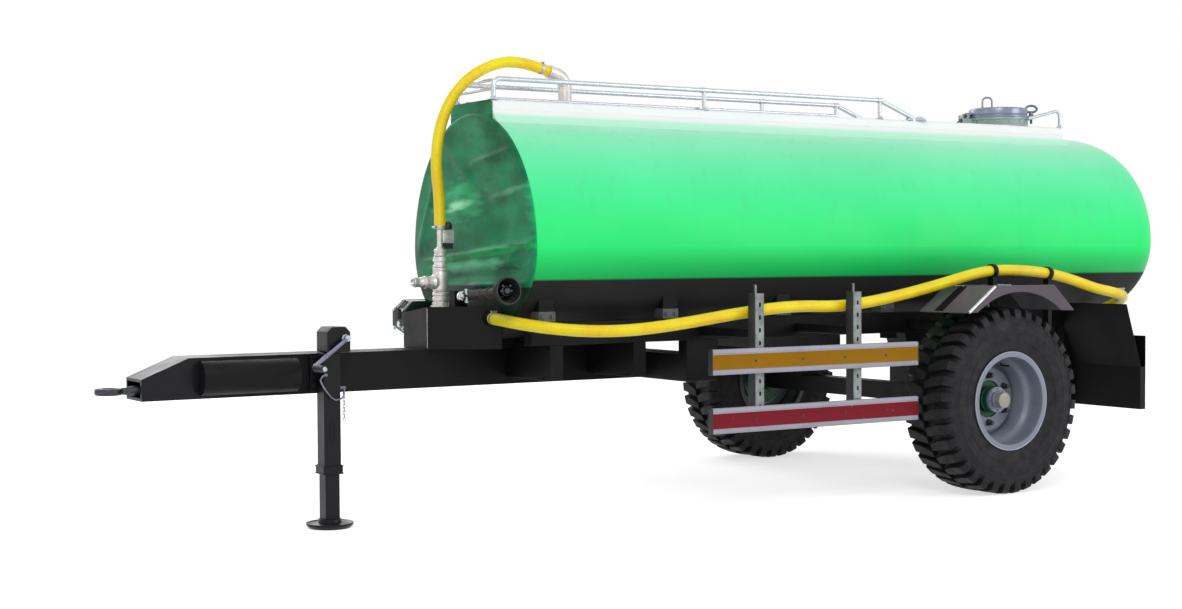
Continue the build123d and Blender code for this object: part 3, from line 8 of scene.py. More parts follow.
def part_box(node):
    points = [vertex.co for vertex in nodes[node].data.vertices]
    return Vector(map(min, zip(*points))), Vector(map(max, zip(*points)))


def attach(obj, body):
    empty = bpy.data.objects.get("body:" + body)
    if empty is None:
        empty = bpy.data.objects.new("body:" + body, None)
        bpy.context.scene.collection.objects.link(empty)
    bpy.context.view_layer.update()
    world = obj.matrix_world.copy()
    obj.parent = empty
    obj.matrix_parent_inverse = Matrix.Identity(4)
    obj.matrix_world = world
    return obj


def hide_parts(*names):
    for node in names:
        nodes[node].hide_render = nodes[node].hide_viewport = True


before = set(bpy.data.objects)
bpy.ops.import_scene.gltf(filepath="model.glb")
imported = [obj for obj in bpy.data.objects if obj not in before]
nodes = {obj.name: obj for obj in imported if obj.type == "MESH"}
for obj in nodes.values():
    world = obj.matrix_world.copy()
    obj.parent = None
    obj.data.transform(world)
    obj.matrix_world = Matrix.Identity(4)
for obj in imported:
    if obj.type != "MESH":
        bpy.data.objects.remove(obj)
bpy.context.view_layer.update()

# Metres, in the frame of the CAD model: +X to the rear, -Y the trailer's left, z = 0 the ground.
tyre_low, tyre_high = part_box("left_tyre")
AXLE_X = (tyre_low.x + tyre_high.x) / 2
AXLE_Z = (tyre_low.z + tyre_high.z) / 2
WHEEL_Y = -(tyre_low.y + tyre_high.y) / 2
TYRE_RADIUS = (tyre_high.x - tyre_low.x) / 2

X, Y, Z = Vector((1, 0, 0)), Vector((0, 1, 0)), Vector((0, 0, 1))
SIDES = (("left", -1), ("right", 1))
BEVEL_FROM = 40                # degrees between two faces
WELD_GAP = 0.00002


# ---- shapes --------------------------------------------------------------------------------------
def turned_to(axis):
    """Rotation that turns +Z to an axis."""
    return Vector(axis).to_track_quat("Z", "Y").to_matrix().to_4x4()


def placed(place, across, up, out):
    """Matrix that puts its X, Y and Z along three axes at a place."""
    return Matrix.Translation(place) @ Matrix((across, up, out)).transposed().to_4x4()


def turns(count, shift=0.0):
    """Angles that divide a full turn evenly."""
    return [tau * (index + shift) / count for index in range(count)]


def circle(centre, first, second, sides):
    """Points of an ellipse whose half axes are two vectors."""
    return [centre + (first * cos(angle) + second * sin(angle)) for angle in turns(sides)]


def smoothed(mesh, angle=35):
    mesh.shade_smooth()
    mesh.set_sharp_from_angle(angle=radians(angle))


def linked(name, data):
    piece = bpy.data.objects.new(name, data)
    bpy.context.collection.objects.link(piece)
    return piece


def evaluated_mesh(piece):
    return bpy.data.meshes.new_from_object(piece.evaluated_get(bpy.context.evaluated_depsgraph_get()))


def add_bevel(piece, width, segments=2):
    bevel = piece.modifiers.new("bevel", "BEVEL")
    bevel.width = width
    bevel.segments = segments
    bevel.limit_method = "ANGLE"
    bevel.angle_limit = radians(BEVEL_FROM)
    bevel.harden_normals = True


class Shape:
    """A mesh under construction. Each method adds one closed form."""

    def __init__(self):
        self.mesh = bmesh.new()

    def rings(self, rings, closed=False):
        """Skin over rings of points, each as long as the first, with a cap on both ends."""
        made = [[self.mesh.verts.new(point) for point in ring] for ring in rings]
        follow = made[1:] + made[:1] if closed else made[1:]
        for first, second in zip(made, follow):
            for a, b, c, d in zip(first, first[1:] + first[:1], second[1:] + second[:1], second):
                self.mesh.faces.new((a, b, c, d))
        if not closed:
            self.mesh.faces.new(reversed(made[0]))
            self.mesh.faces.new(made[-1])
        return self

    def box(self, low, high, matrix=Matrix()):
        (x0, y0, z0), (x1, y1, z1) = low, high
        corners = ((x0, y0), (x1, y0), (x1, y1), (x0, y1))
        return self.rings([[matrix @ Vector((x, y, z)) for x, y in corners] for z in (z0, z1)])

    def lathe(self, profile, place, axis, steps=40, closed=False):
        """Profile of (radius, distance along the axis) turned about the axis through place."""
        turn = Matrix.Translation(place) @ turned_to(axis)
        columns = [[turn @ Vector((radius * cos(angle), radius * sin(angle), along))
                    for radius, along in profile] for angle in turns(steps)]
        return self.rings([list(row) for row in zip(*columns)], closed=closed)

    def hexagon(self, place, axis, radius, height, washer=0.0):
        """Hexagon nut or bolt head, with its washer under it."""
        axis = Vector(axis).normalized()
        if washer:
            self.lathe([(radius * 1.35, 0), (radius * 1.35, washer)], place, axis, 20)
        profile = [(radius, washer), (radius, height * 0.85), (radius * 0.86, height)]
        return self.lathe(profile, place, axis, 6)

    def tube(self, points, radius, sides=12, closed=False, radii=None):
        """Round bar along points, with no twist."""
        points = [Vector(point) for point in points]
        last = len(points) - 1
        side = None
        rings = []
        for index, point in enumerate(points):
            before = points[index - 1] if index or closed else point
            after = points[(index + 1) % (last + 1)] if index < last or closed else point
            along = (after - before).normalized()
            if side is None:
                side = along.orthogonal().normalized()
            side = (side - along * side.dot(along)).normalized()
            other = along.cross(side)
            size = radii[index] if radii else radius
            rings.append([point + (side * cos(angle) + other * sin(angle)) * size
                          for angle in turns(sides)])
        return self.rings(rings, closed=closed)

    def plate(self, outline, matrix, thickness):
        """Prism of an outline in the matrix's XY plane, along its +Z."""
        return self.rings([[matrix @ Vector((u, v, height)) for u, v in outline]
                           for height in (0, thickness)])

    def raw(self, name):
        """The mesh so far as an object, with its faces turned outwards."""
        bmesh.ops.recalc_face_normals(self.mesh, faces=self.mesh.faces)
        data = bpy.data.meshes.new(name)
        self.mesh.to_mesh(data)
        self.mesh.free()
        return linked(name, data)

    def finish(self, name, material, slot, bevel=0.0, angle=35, body="trailer", replaces=None):
        """A piece of the model: what it is made of, the body it rides and the node it stands for."""
        piece = self.raw(name)
        piece.data.materials.append(material)
        smoothed(piece.data, angle)
        if bevel:
            add_bevel(piece, bevel)
        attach(piece, body)
        if replaces:
            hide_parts(replaces)
        return piece


def dress(name, material, bevel=0.0, segments=2):
    """A material, and softened edges, on a CAD node."""
    piece = nodes[name]
    if not piece.material_slots:
        piece.data.materials.append(material)
    for slot in piece.material_slots:
        slot.link = "OBJECT"
        slot.material = material
    if bevel:
        weld = piece.modifiers.new("weld", "WELD")
        weld.merge_threshold = WELD_GAP
        add_bevel(piece, bevel, segments)


def stadium(length, width, steps):
    """Outline of a slot that is long in its first direction."""
    outline = []
    reach = (length - width) / 2
    for side in (1, -1):
        for index in range(steps + 1):
            angle = -side * pi / 2 + pi * index / steps
            outline.append((side * reach + width / 2 * cos(angle), width / 2 * sin(angle)))
    return outline


def rounded(centre_u, centre_v, half_u, half_v, corner, steps):
    """Outline of a rectangle with round corners."""
    outline = []
    for side_u, side_v, start in ((1, 1, 0), (-1, 1, 90), (-1, -1, 180), (1, -1, 270)):
        for index in range(steps + 1):
            angle = radians(start + 90 * index / steps)
            outline.append((centre_u + side_u * (half_u - corner) + corner * cos(angle),
                            centre_v + side_v * (half_v - corner) + corner * sin(angle)))
    return outline


def arc(centre, radius, start, end, steps):
    """Points on an arc in the XZ plane, angles in degrees."""
    points = []
    for index in range(steps + 1):
        angle = radians(start + (end - start) * index / steps)
        points.append(Vector(centre) + (X * cos(angle) + Z * sin(angle)) * radius)
    return points


# ---- materials -----------------------------------------------------------------------------------
def srgb(red, green, blue):
    """Linear colour from 0-255 display values."""
    def linear(value):
        value /= 255
        return value / 12.92 if value <= 0.04045 else ((value + 0.055) / 1.055) ** 2.4
    return (linear(red), linear(green), linear(blue), 1.0)


def dark(colour, share):
    return (colour[0] * share, colour[1] * share, colour[2] * share, 1.0)


class Graph:
    """A material's nodes, with short names for the few kinds in use."""

    def __init__(self, name, **settings):
        self.material = bpy.data.materials.new(name)
        self.material.use_nodes = True
        self.tree = self.material.node_tree
        self.shader = self.tree.nodes["Principled BSDF"]
        self.place = self.add("TexCoord").outputs["Object"]
        for socket, value in settings.items():
            self.set(socket.replace("_", " "), value)

    def add(self, kind, **values):
        node = self.tree.nodes.new("ShaderNode" + kind)
        for key, value in values.items():
            setattr(node, key, value)
        return node

    def feed(self, socket, value):
        """A number or colour on a socket, or a link to it."""
        if isinstance(value, bpy.types.NodeSocket):
            self.tree.links.new(value, socket)
        else:
            socket.default_value = value

    def set(self, socket, value):
        self.feed(self.shader.inputs[socket], value)

    def noise(self, scale, detail=3.0, stretch=None):
        node = self.add("TexNoise")
        node.inputs["Scale"].default_value = scale
        node.inputs["Detail"].default_value = detail
        source = self.place
        if stretch:
            mapping = self.add("Mapping")
            mapping.inputs["Scale"].default_value = stretch
            self.feed(mapping.inputs["Vector"], source)
            source = mapping.outputs[0]
        self.feed(node.inputs["Vector"], source)
        return node.outputs["Fac"]

    def maths(self, operation, first, second=0.0):
        node = self.add("Math", operation=operation)
        self.feed(node.inputs[0], first)
        self.feed(node.inputs[1], second)
        return node.outputs[0]

    def step(self, value, low, high, to_low=0.0, to_high=1.0):
        """Value rising evenly between two limits."""
        node = self.add("MapRange")
        for index, number in enumerate((value, low, high, to_low, to_high)):
            self.feed(node.inputs[index], number)
        return node.outputs[0]

    def mix(self, share, first, second):
        node = self.add("Mix", data_type="RGBA")
        self.feed(node.inputs["Factor"], share)
        self.feed(node.inputs[6], first)
        self.feed(node.inputs[7], second)
        return node.outputs[2]

    def part(self, vector, axis):
        node = self.add("SeparateXYZ")
        self.feed(node.inputs[0], vector)
        return node.outputs[axis]

    def coordinate(self, axis):
        return self.part(self.place, axis)

    def normal(self, axis):
        return self.part(self.add("NewGeometry").outputs["Normal"], axis)

    def from_axle(self):
        """Distance from the wheels' axis."""
        across = self.maths("SUBTRACT", self.coordinate("X"), AXLE_X)
        above = self.maths("SUBTRACT", self.coordinate("Z"), AXLE_Z)
        return self.maths("SQRT", self.maths("ADD", self.maths("MULTIPLY", across, across),
                                             self.maths("MULTIPLY", above, above)))

    def outboard(self):
        """Distance outboard of the tyres' middle planes."""
        return self.maths("SUBTRACT", self.maths("ABSOLUTE", self.coordinate("Y")), WHEEL_Y)

    def gloss(self, scale, detail, low, high, stretch=None):
        """Roughness that wanders between two values."""
        self.set("Roughness", self.step(self.noise(scale, detail, stretch), 0.3, 0.7, low, high))

    def bump(self, height, distance, strength=1.0):
        node = self.add("Bump")
        node.inputs["Strength"].default_value = strength
        node.inputs["Distance"].default_value = distance
        self.feed(node.inputs["Height"], height)
        self.set("Normal", node.outputs[0])

    def grain(self, scale, detail, distance, stretch=None):
        self.bump(self.noise(scale, detail, stretch), distance)


DUST = srgb(150, 146, 138)


def weathered(graph, colour, vary, dust, dust_colour=DUST, scale=3.0):
    """Colour with broad patches, fine speckle and a little dust on what faces up."""
    patches = graph.mix(graph.step(graph.noise(scale), 0.3, 0.7), colour, dark(colour, 1 - vary))
    specks = graph.step(graph.noise(90.0), 0.52, 0.75, 0.0, 0.35)
    speckled = graph.mix(specks, patches, dark(colour, 1 - 2 * vary))
    if not dust:
        return speckled
    settled = graph.maths("MULTIPLY", graph.step(graph.normal("Z"), 0.3, 1.0),
                          graph.step(graph.noise(14.0, 6.0), 0.35, 0.8, 0.0, dust))
    return graph.mix(settled, speckled, dust_colour)


def paint(name, colour, roughness, vary, dust, peel=0.00015, **settings):
    """Sprayed paint with faint orange peel and uneven gloss."""
    graph = Graph(name, **settings)
    graph.set("Base Color", weathered(graph, colour, vary, dust))
    graph.gloss(9.0, 5.0, roughness * 0.85, roughness * 1.2)
    graph.grain(260.0, 2.0, peel)
    return graph.material


def blotched(graph, colour, duller):
    """Metal's colour going over to a duller one in blotches."""
    return graph.mix(graph.step(graph.noise(26.0, 5.0), 0.35, 0.68), colour, duller)


def metal(name, colour, roughness, vary=0.15, metallic=1.0, pitted=0.0002):
    """Bare or plated metal with blotches and pits."""
    graph = Graph(name, Metallic=metallic)
    graph.set("Base Color", blotched(graph, colour, dark(colour, 1 - vary)))
    graph.gloss(60.0, 4.0, roughness * 0.75, roughness * 1.3)
    graph.grain(420.0, 3.0, pitted)
    return graph.material


black_paint = paint("black_paint", srgb(16, 16, 18), 0.45, 0.2, 0.05, Specular_IOR_Level=0.14)
jack_paint = paint("jack_paint", srgb(15, 15, 20), 0.36, 0.2, 0.05, Specular_IOR_Level=0.22)
pump_paint = paint("pump_paint", srgb(15, 15, 17), 0.4, 0.25, 0.03, Specular_IOR_Level=0.15)
galvanised = metal("galvanised", srgb(186, 192, 200), 0.42, vary=0.18, metallic=0.75)
rail_metal = metal("rail_metal", srgb(200, 206, 214), 0.3, vary=0.12, metallic=0.7)
bright_steel = metal("bright_steel", srgb(205, 208, 210), 0.22)
bail_steel = metal("bail_steel", srgb(120, 120, 140), 0.35, vary=0.3, metallic=0.7)
dark_steel = metal("dark_steel", srgb(70, 72, 76), 0.4, vary=0.3, metallic=0.8)
cast_metal = metal("cast_metal", srgb(228, 224, 219), 0.34, vary=0.25, metallic=0.55, pitted=0.0006)
mudguard_paint = paint("mudguard_paint", srgb(109, 101, 108), 0.65, 0.18, 0.15, Specular_IOR_Level=0.12)
# dark strip of painted shade for the mudguards' slot
slot_shade_paint = paint("slot_shade_paint", srgb(38, 34, 37), 0.8, 0.2, 0.0, Specular_IOR_Level=0.02)
edge_metal = metal("edge_metal", srgb(214, 216, 216), 0.3, metallic=0.6)
saddle_paint = paint("saddle_paint", srgb(86, 88, 92), 0.45, 0.2, 0.2)
lip_paint = paint("lip_paint", srgb(160, 168, 186), 0.35, 0.12, 0.1, Metallic=0.15)
gear_paint = paint("gear_paint", srgb(8, 46, 32), 0.36, 0.3, 0.04, peel=0.0006, Specular_IOR_Level=0.3)
lid_paint = paint("lid_paint", srgb(140, 150, 170), 0.3, 0.14, 0.12, Metallic=0.4)
collar_paint = paint("collar_paint", srgb(158, 178, 170), 0.34, 0.12, 0.1, Metallic=0.2)
plate_paint = paint("plate_paint", srgb(212, 212, 206), 0.35, 0.08, 0.0)
black_plastic = paint("black_plastic", srgb(26, 27, 27), 0.5, 0.2, 0.12, peel=0.0003)


def make_rubber():
    """Tyre rubber, paler where the tread touches the road."""
    graph = Graph("rubber", Specular_IOR_Level=0.25)
    colour = weathered(graph, srgb(20, 19, 23), 0.25, 0.12, srgb(70, 66, 64), 5.0)
    scuffed = graph.step(graph.from_axle(), TYRE_RADIUS - 0.012, TYRE_RADIUS, 0.0, 0.35)
    worn = graph.maths("MULTIPLY", scuffed, graph.step(graph.noise(40.0, 6.0), 0.35, 0.65))
    graph.set("Base Color", graph.mix(worn, colour, srgb(46, 43, 44)))
    graph.gloss(30.0, 5.0, 0.5, 0.75)
    graph.grain(500.0, 4.0, 0.0003)
    return graph.material


def make_rim_paint():
    """Blue-grey rim, darkened as painted shade on the side that faces the axle."""
    graph = Graph("rim_paint", Metallic=0.15)
    tone = weathered(graph, srgb(132, 137, 151), 0.16, 0.1)
    # painted shade on the inboard side
    inboard_shade = graph.step(graph.outboard(), -0.06, -0.02, 0.85, 0.0)
    graph.set("Base Color", graph.mix(inboard_shade, tone, srgb(34, 32, 31)))
    graph.gloss(40.0, 4.0, 0.34, 0.52)
    graph.grain(300.0, 3.0, 0.0002)
    return graph.material


def make_hub_paint():
    """Green flange, blue-grey outer end and pale cap on one hub, darkened towards the axle as painted shade.
    """
    graph = Graph("hub_paint", Metallic=0.25)
    outboard = graph.outboard()
    green = weathered(graph, srgb(10, 82, 48), 0.25, 0.06)
    barrel = graph.mix(graph.step(outboard, 0.026, 0.028), green, srgb(118, 128, 146))
    # painted shade towards the axle
    shaded_inboard = graph.mix(graph.step(outboard, -0.06, -0.01, 0.85, 0.0), barrel, srgb(30, 30, 29))
    cap_edge = graph.step(graph.from_axle(), 0.0335, 0.0345)
    graph.set("Base Color", graph.mix(cap_edge, srgb(150, 148, 138), shaded_inboard))
    graph.gloss(40.0, 4.0, 0.3, 0.5)
    graph.grain(300.0, 3.0, 0.0002)
    return graph.material


# colour of the shell's paint by height, with painted shade low on the sides and a painted sheen that goes
# pale, then white, towards the spine
TANK_LIT_TONES = ((0.936, (16, 190, 92)), (1.0, (20, 216, 104)), (1.06, (26, 246, 122)),
              (1.16, (42, 250, 134)), (1.3, (78, 252, 162)), (1.42, (112, 252, 182)),
              (1.52, (150, 253, 202)), (1.58, (196, 254, 224)), (1.612, (240, 253, 245)))


def make_tank_green():
    """Gloss green over the whole shell, with a painted sheen that makes the crown paler and painted shade
    that darkens it lower down, and black below a crisp line.
    """
    graph = Graph("tank_green", Specular_IOR_Level=0.3)
    height = graph.coordinate("Z")
    lowest, highest = TANK_LIT_TONES[0][0], TANK_LIT_TONES[-1][0]
    # painted sheen and shade: the green by height
    ramp = graph.add("ValToRGB")
    stops = ramp.color_ramp.elements
    for place, colour in TANK_LIT_TONES[1:-1]:
        stops.new((place - lowest) / (highest - lowest)).color = srgb(*colour)
    stops[0].color = srgb(*TANK_LIT_TONES[0][1])
    stops[-1].color = srgb(*TANK_LIT_TONES[-1][1])
    graph.feed(ramp.inputs[0], graph.step(height, lowest, highest))
    patches = graph.step(graph.noise(2.2, 4.0, (0.5, 1, 1)), 0.35, 0.7, 0.0, 0.16)
    patchy = graph.mix(patches, ramp.outputs[0], srgb(20, 176, 90))
    streaks = graph.step(graph.noise(7.0, 5.0, (3, 3, 0.4)), 0.56, 0.8, 0.0, 0.14)
    streaky = graph.mix(streaks, patchy, srgb(96, 190, 140))
    above_belly = graph.step(height, 0.932, 0.94)
    graph.set("Base Color", graph.mix(above_belly, srgb(17, 17, 18), streaky))
    gloss = graph.step(graph.noise(5.0, 5.0), 0.3, 0.7, 0.4, 0.52)
    graph.set("Roughness", graph.maths("ADD", gloss, graph.step(above_belly, 0.0, 1.0, 0.25, 0.0)))
    ripple = graph.noise(1.6, 2.0, (1, 0.3, 1))
    graph.bump(graph.maths("ADD", ripple, graph.maths("MULTIPLY", graph.noise(200.0), 0.04)), 0.006, 0.35)
    return graph.material


def make_spine_paint():
    """White of the spine, going over at its foot into the palest green of the shell's painted sheen."""
    graph = Graph("spine_paint", Specular_IOR_Level=0.4)
    white = weathered(graph, srgb(253, 254, 254), 0.02, 0.03)
    above_foot = graph.step(graph.coordinate("Z"), 1.588, 1.604)
    graph.set("Base Color", graph.mix(above_foot, srgb(196, 252, 222), white))
    graph.gloss(9.0, 5.0, 0.36, 0.5)
    graph.grain(260.0, 2.0, 0.00015)
    return graph.material


# painted highlights and shade on the front plate, mostly along its creases, laid on in this order:
# centre in Y and Z, half width and height, slope, weight and colour
BROAD_PAINTED_LIGHT = ((0.1, 1.25, 0.22, 0.09, -0.1, 0.85, (70, 200, 136)),
                 (-0.57, 1.3, 0.12, 0.24, 0.0, 0.6, (60, 214, 136)),
                 (-0.05, 1.5, 0.1, 0.13, 0.6, 0.4, (74, 158, 116)))
FINE_PAINTED_LIGHT = ((-0.2, 1.13, 0.3, 0.06, -0.07, 0.45, (24, 128, 86)),
                (-0.14, 1.045, 0.5, 0.016, -0.07, 0.95, (10, 186, 92)),
                (0.02, 0.99, 0.34, 0.026, -0.04, 0.75, (116, 218, 164)),
                (0.1, 1.238, 0.12, 0.026, -0.1, 1.0, (170, 255, 204)),
                (-0.34, 1.285, 0.15, 0.016, -0.12, 0.6, (112, 170, 138)),
                (0.03, 0.935, 0.3, 0.014, -0.04, 0.5, (90, 180, 134)))


def make_front_green():
    """Green of the front plate, darker than the shell's as painted shade, with painted highlights and shade
    along its creases and a grey rubbed edge on the right.
    """
    graph = Graph("front_shaded_green", Coat_Weight=0.05, Coat_Roughness=0.3, Specular_IOR_Level=0.14)
    across, up = graph.coordinate("Y"), graph.coordinate("Z")
    ragged = graph.step(graph.noise(11.0, 3.0, (1, 0.6, 2.5)), 0.3, 0.7, -0.6, 0.6)

    def squared(value, half):
        return graph.maths("POWER", graph.maths("ABSOLUTE", graph.maths("DIVIDE", value, half)), 2.0)

    def lay(tone, patches):
        for centre_y, centre_z, half_y, half_z, slope, weight, colour in patches:
            aside = graph.maths("SUBTRACT", across, centre_y)
            above = graph.maths("SUBTRACT", up, centre_z)
            above = graph.maths("SUBTRACT", above, graph.maths("MULTIPLY", aside, slope))
            reach = graph.maths("ADD", squared(aside, half_y), squared(above, half_z))
            share = graph.step(graph.maths("ADD", reach, ragged), -0.1, 1.1, weight, 0.0)
            tone = graph.mix(share, tone, srgb(*colour))
        return tone

    # darker green than the shell's, as painted shade, in two tones at random
    ground = graph.step(graph.noise(3.4, 5.0, (1, 1.4, 3)), 0.36, 0.66)
    # broad patches of painted highlight and shade
    tone = lay(graph.mix(ground, srgb(10, 94, 60), srgb(38, 146, 98)), BROAD_PAINTED_LIGHT)
    rubbed = graph.maths("MULTIPLY", graph.step(across, 0.44, 0.54), graph.step(up, 1.28, 1.4, 0.8, 0.0))
    # finer painted highlights and shade along the creases
    tone = lay(graph.mix(rubbed, tone, srgb(112, 116, 112)), FINE_PAINTED_LIGHT)
    graph.set("Base Color", graph.mix(graph.step(up, 0.905, 0.912), srgb(4, 40, 22), tone))
    graph.gloss(12.0, 4.0, 0.34, 0.55)
    graph.bump(graph.noise(7.0, 5.0, (1, 1, 2)), 0.004, 0.4)
    return graph.material


def make_hose_yellow():
    """Glossy yellow plastic with a little grime."""
    graph = Graph("hose_yellow", Coat_Weight=0.25, Coat_Roughness=0.2, Specular_IOR_Level=0.3)
    tone = graph.mix(graph.step(graph.noise(7.0, 4.0), 0.35, 0.68), srgb(255, 236, 8), srgb(250, 210, 6))
    grime = graph.step(graph.noise(34.0, 6.0), 0.55, 0.8, 0.0, 0.2)
    graph.set("Base Color", graph.mix(grime, tone, srgb(186, 146, 24)))
    graph.gloss(50.0, 4.0, 0.26, 0.42)
    graph.grain(600.0, 3.0, 0.0002)
    return graph.material


def make_plank(name, node, band_colour):
    """Bare aluminium plank with a coloured band along its middle."""
    low, high = (corner.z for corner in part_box(node))
    border = (high - low) * 0.2
    soft = 0.001
    graph = Graph(name, Specular_IOR_Level=0.1)
    height = graph.coordinate("Z")
    inside = graph.maths("MULTIPLY", graph.step(height, low + border, low + border + soft),
                         graph.step(height, high - border - soft, high - border, 1.0, 0.0))
    band = weathered(graph, band_colour, 0.14, 0.1, scale=4.0)
    edge = weathered(graph, srgb(178, 175, 188), 0.12, 0.08, scale=9.0)
    chipped = graph.maths("MULTIPLY", inside, graph.step(graph.noise(55.0, 6.0), 0.72, 0.75, 1.0, 0.5))
    graph.set("Base Color", graph.mix(chipped, edge, band))
    graph.gloss(90.0, 4.0, 0.3, 0.5, (0.1, 1, 1))
    graph.grain(300.0, 3.0, 0.0003, (0.08, 1, 1))
    return graph.material


def make_lens():
    """Ribbed lens in three colours from the outside inwards."""
    graph = Graph("lens", Coat_Weight=0.8, Coat_Roughness=0.05, Roughness=0.2)
    from_middle = graph.maths("ABSOLUTE", graph.coordinate("Y"))
    inner = graph.mix(graph.step(from_middle, 0.688, 0.689), srgb(225, 222, 214), srgb(150, 12, 14))
    graph.set("Base Color", graph.mix(graph.step(from_middle, 0.756, 0.757), inner, srgb(222, 120, 14)))
    ribs = graph.add("TexWave", wave_type="BANDS", bands_direction="Y")
    ribs.inputs["Scale"].default_value = 60.0
    graph.feed(ribs.inputs["Vector"], graph.place)
    graph.bump(ribs.outputs["Fac"], 0.0012, 0.6)
    return graph.material


def make_post_steel():
    """Pale zinc face between flanges darkened as painted shade."""
    graph = Graph("post_steel", Metallic=0.3)
    # painted shade on the faces that turn along X
    flange_shade = graph.step(graph.maths("ABSOLUTE", graph.normal("X")), 0.55, 0.75)
    zinc = blotched(graph, srgb(148, 154, 152), srgb(112, 118, 116))
    graph.set("Base Color", graph.mix(flange_shade, zinc, srgb(44, 46, 49)))
    graph.gloss(60.0, 4.0, 0.38, 0.6)
    graph.grain(420.0, 3.0, 0.0002)
    return graph.material


rubber = make_rubber()
rim_paint = make_rim_paint()
hub_paint = make_hub_paint()
tank_green = make_tank_green()
front_shaded_green = make_front_green()
spine_paint = make_spine_paint()
hose_yellow = make_hose_yellow()
amber_plank = make_plank("amber_plank", "upper_plank", srgb(160, 112, 0))
red_plank = make_plank("red_plank", "lower_plank", srgb(132, 28, 42))
lens = make_lens()
post_steel = make_post_steel()


# ---- camera and hoses ----------------------------------------------------------------------------
CAMERA_PLACE = (-4.3875, -6.2048, 1.0227)
CAMERA_AZIMUTH = radians(32.03)
CAMERA_PITCH = radians(-1.57)
CAMERA_ROLL = radians(-0.32)
CAMERA_LENS = 52.42


def make_camera():
    camera = linked("camera", bpy.data.cameras.new("camera"))
    level = cos(CAMERA_PITCH)
    forward = Vector((sin(CAMERA_AZIMUTH) * level, cos(CAMERA_AZIMUTH) * level, sin(CAMERA_PITCH)))
    right = forward.cross(Z).normalized()
    up = right.cross(forward)
    rolled_right = right * cos(CAMERA_ROLL) + up * sin(CAMERA_ROLL)
    rolled_up = up * cos(CAMERA_ROLL) - right * sin(CAMERA_ROLL)
    camera.matrix_world = placed(CAMERA_PLACE, rolled_right, rolled_up, -forward)
    camera.data.lens = CAMERA_LENS
    camera.data.sensor_width = 36.0
    bpy.context.scene.camera = camera


# control points of the hoses: X from the axle, Y and Z
FILL_ROUTE = [(-2.242, 0, 1.141), (-2.242, 0, 1.266), (-2.26, 0, 1.41), (-2.237, 0, 1.57),
              (-2.162, 0, 1.71), (-2.032, 0, 1.806), (-1.872, 0, 1.842), (-1.73, 0, 1.8)]
SIDE_ROUTE = [(-2.142, -0.252, 0.784), (-2.146, -0.364, 0.777), (-2.108, -0.482, 0.762),
              (-2.03, -0.584, 0.748), (-1.916, -0.664, 0.74), (-1.77, -0.716, 0.743),
              (-1.56, -0.742, 0.765), (-1.3, -0.746, 0.799), (-1.03, -0.745, 0.823), (-0.77, -0.746, 0.813),
              (-0.5, -0.745, 0.847), (-0.245, -0.746, 0.895), (0, -0.745, 0.949), (0.165, -0.744, 0.959),
              (0.352, -0.745, 0.949), (0.496, -0.744, 0.929), (0.62, -0.743, 0.9), (0.738, -0.741, 0.868),
              (0.852, -0.733, 0.851), (0.964, -0.7, 0.835), (1.056, -0.631, 0.817), (1.118, -0.533, 0.792),
              (1.139, -0.42, 0.755), (1.124, -0.309, 0.706), (1.088, -0.212, 0.655), (1.042, -0.126, 0.618)]
FILL_HOSE_DIAMETER = 0.047
SIDE_HOSE_DIAMETER = 0.048
HOSE_RIB_PITCH = 0.0084
HOSE_RIB_DEPTH = 0.0012
POINTS_PER_RIB = 4


def smooth_line(name, route):
    """Points along the NURBS spline whose control points are the route."""
    curve = bpy.data.curves.new(name, "CURVE")
    curve.dimensions = "3D"
    spline = curve.splines.new("NURBS")
    spline.points.add(len(route) - 1)
    for point, (x, y, z) in zip(spline.points, route):
        point.co = (AXLE_X + x, y, z, 1)
    spline.order_u = 3
    spline.use_endpoint_u = True
    spline.resolution_u = 40
    holder = linked(name, curve)
    line = [vertex.co.copy() for vertex in evaluated_mesh(holder).vertices]
    bpy.data.objects.remove(holder)
    return line


def spaced(line, gap):
    """The same line with points a gap apart."""
    points = [line[0]]
    carried = 0.0
    for start, end in zip(line, line[1:]):
        length = (end - start).length
        while carried + length >= gap:
            start = start.lerp(end, (gap - carried) / length)
            length = (end - start).length
            points.append(start)
            carried = 0.0
        carried += length
    if (points[-1] - line[-1]).length > gap / 4:
        points.append(line[-1])
    return points


def make_hose(name, node, route, diameter):
    """Hose with rounded ribs along its line."""
    line = spaced(smooth_line(name, route), HOSE_RIB_PITCH / POINTS_PER_RIB)
    waves = [(1 - cos(tau / POINTS_PER_RIB * index)) / 2 for index in range(len(line))]
    radii = [diameter / 2 - HOSE_RIB_DEPTH * wave for wave in waves]
    hose = Shape().tube(line, diameter / 2, 20, radii=radii)
    return hose.finish(name, hose_yellow, "yellow_hose", angle=60, replaces=node), line


def make_coupling():
    """Grooved fitting with two cam ears on the side hose's rear end."""
    end = Vector(SIDE_ROUTE[-1])
    axis = (end - Vector(SIDE_ROUTE[-2])).normalized()
    end += X * AXLE_X
    coupling = Shape()
    coupling.lathe([(0.0275, -0.012), (0.029, -0.01), (0.029, 0.006), (0.033, 0.009), (0.033, 0.02),
                    (0.03, 0.023), (0.03, 0.03), (0.033, 0.033), (0.033, 0.046), (0.031, 0.05),
                    (0.031, 0.062)], end, axis, 32)
    for turn in (0.3, 0.3 + pi):
        ear = Matrix.Rotation(turn, 4, axis) @ axis.orthogonal().normalized()
        coupling.box((-0.007, -0.005, 0.028), (0.007, 0.008, 0.052),
                     Matrix.Translation(end + ear * 0.031) @ turned_to(axis))
    return coupling.finish("side_hose_coupling", galvanised, "galvanised", 0.001, replaces="hose_coupling")


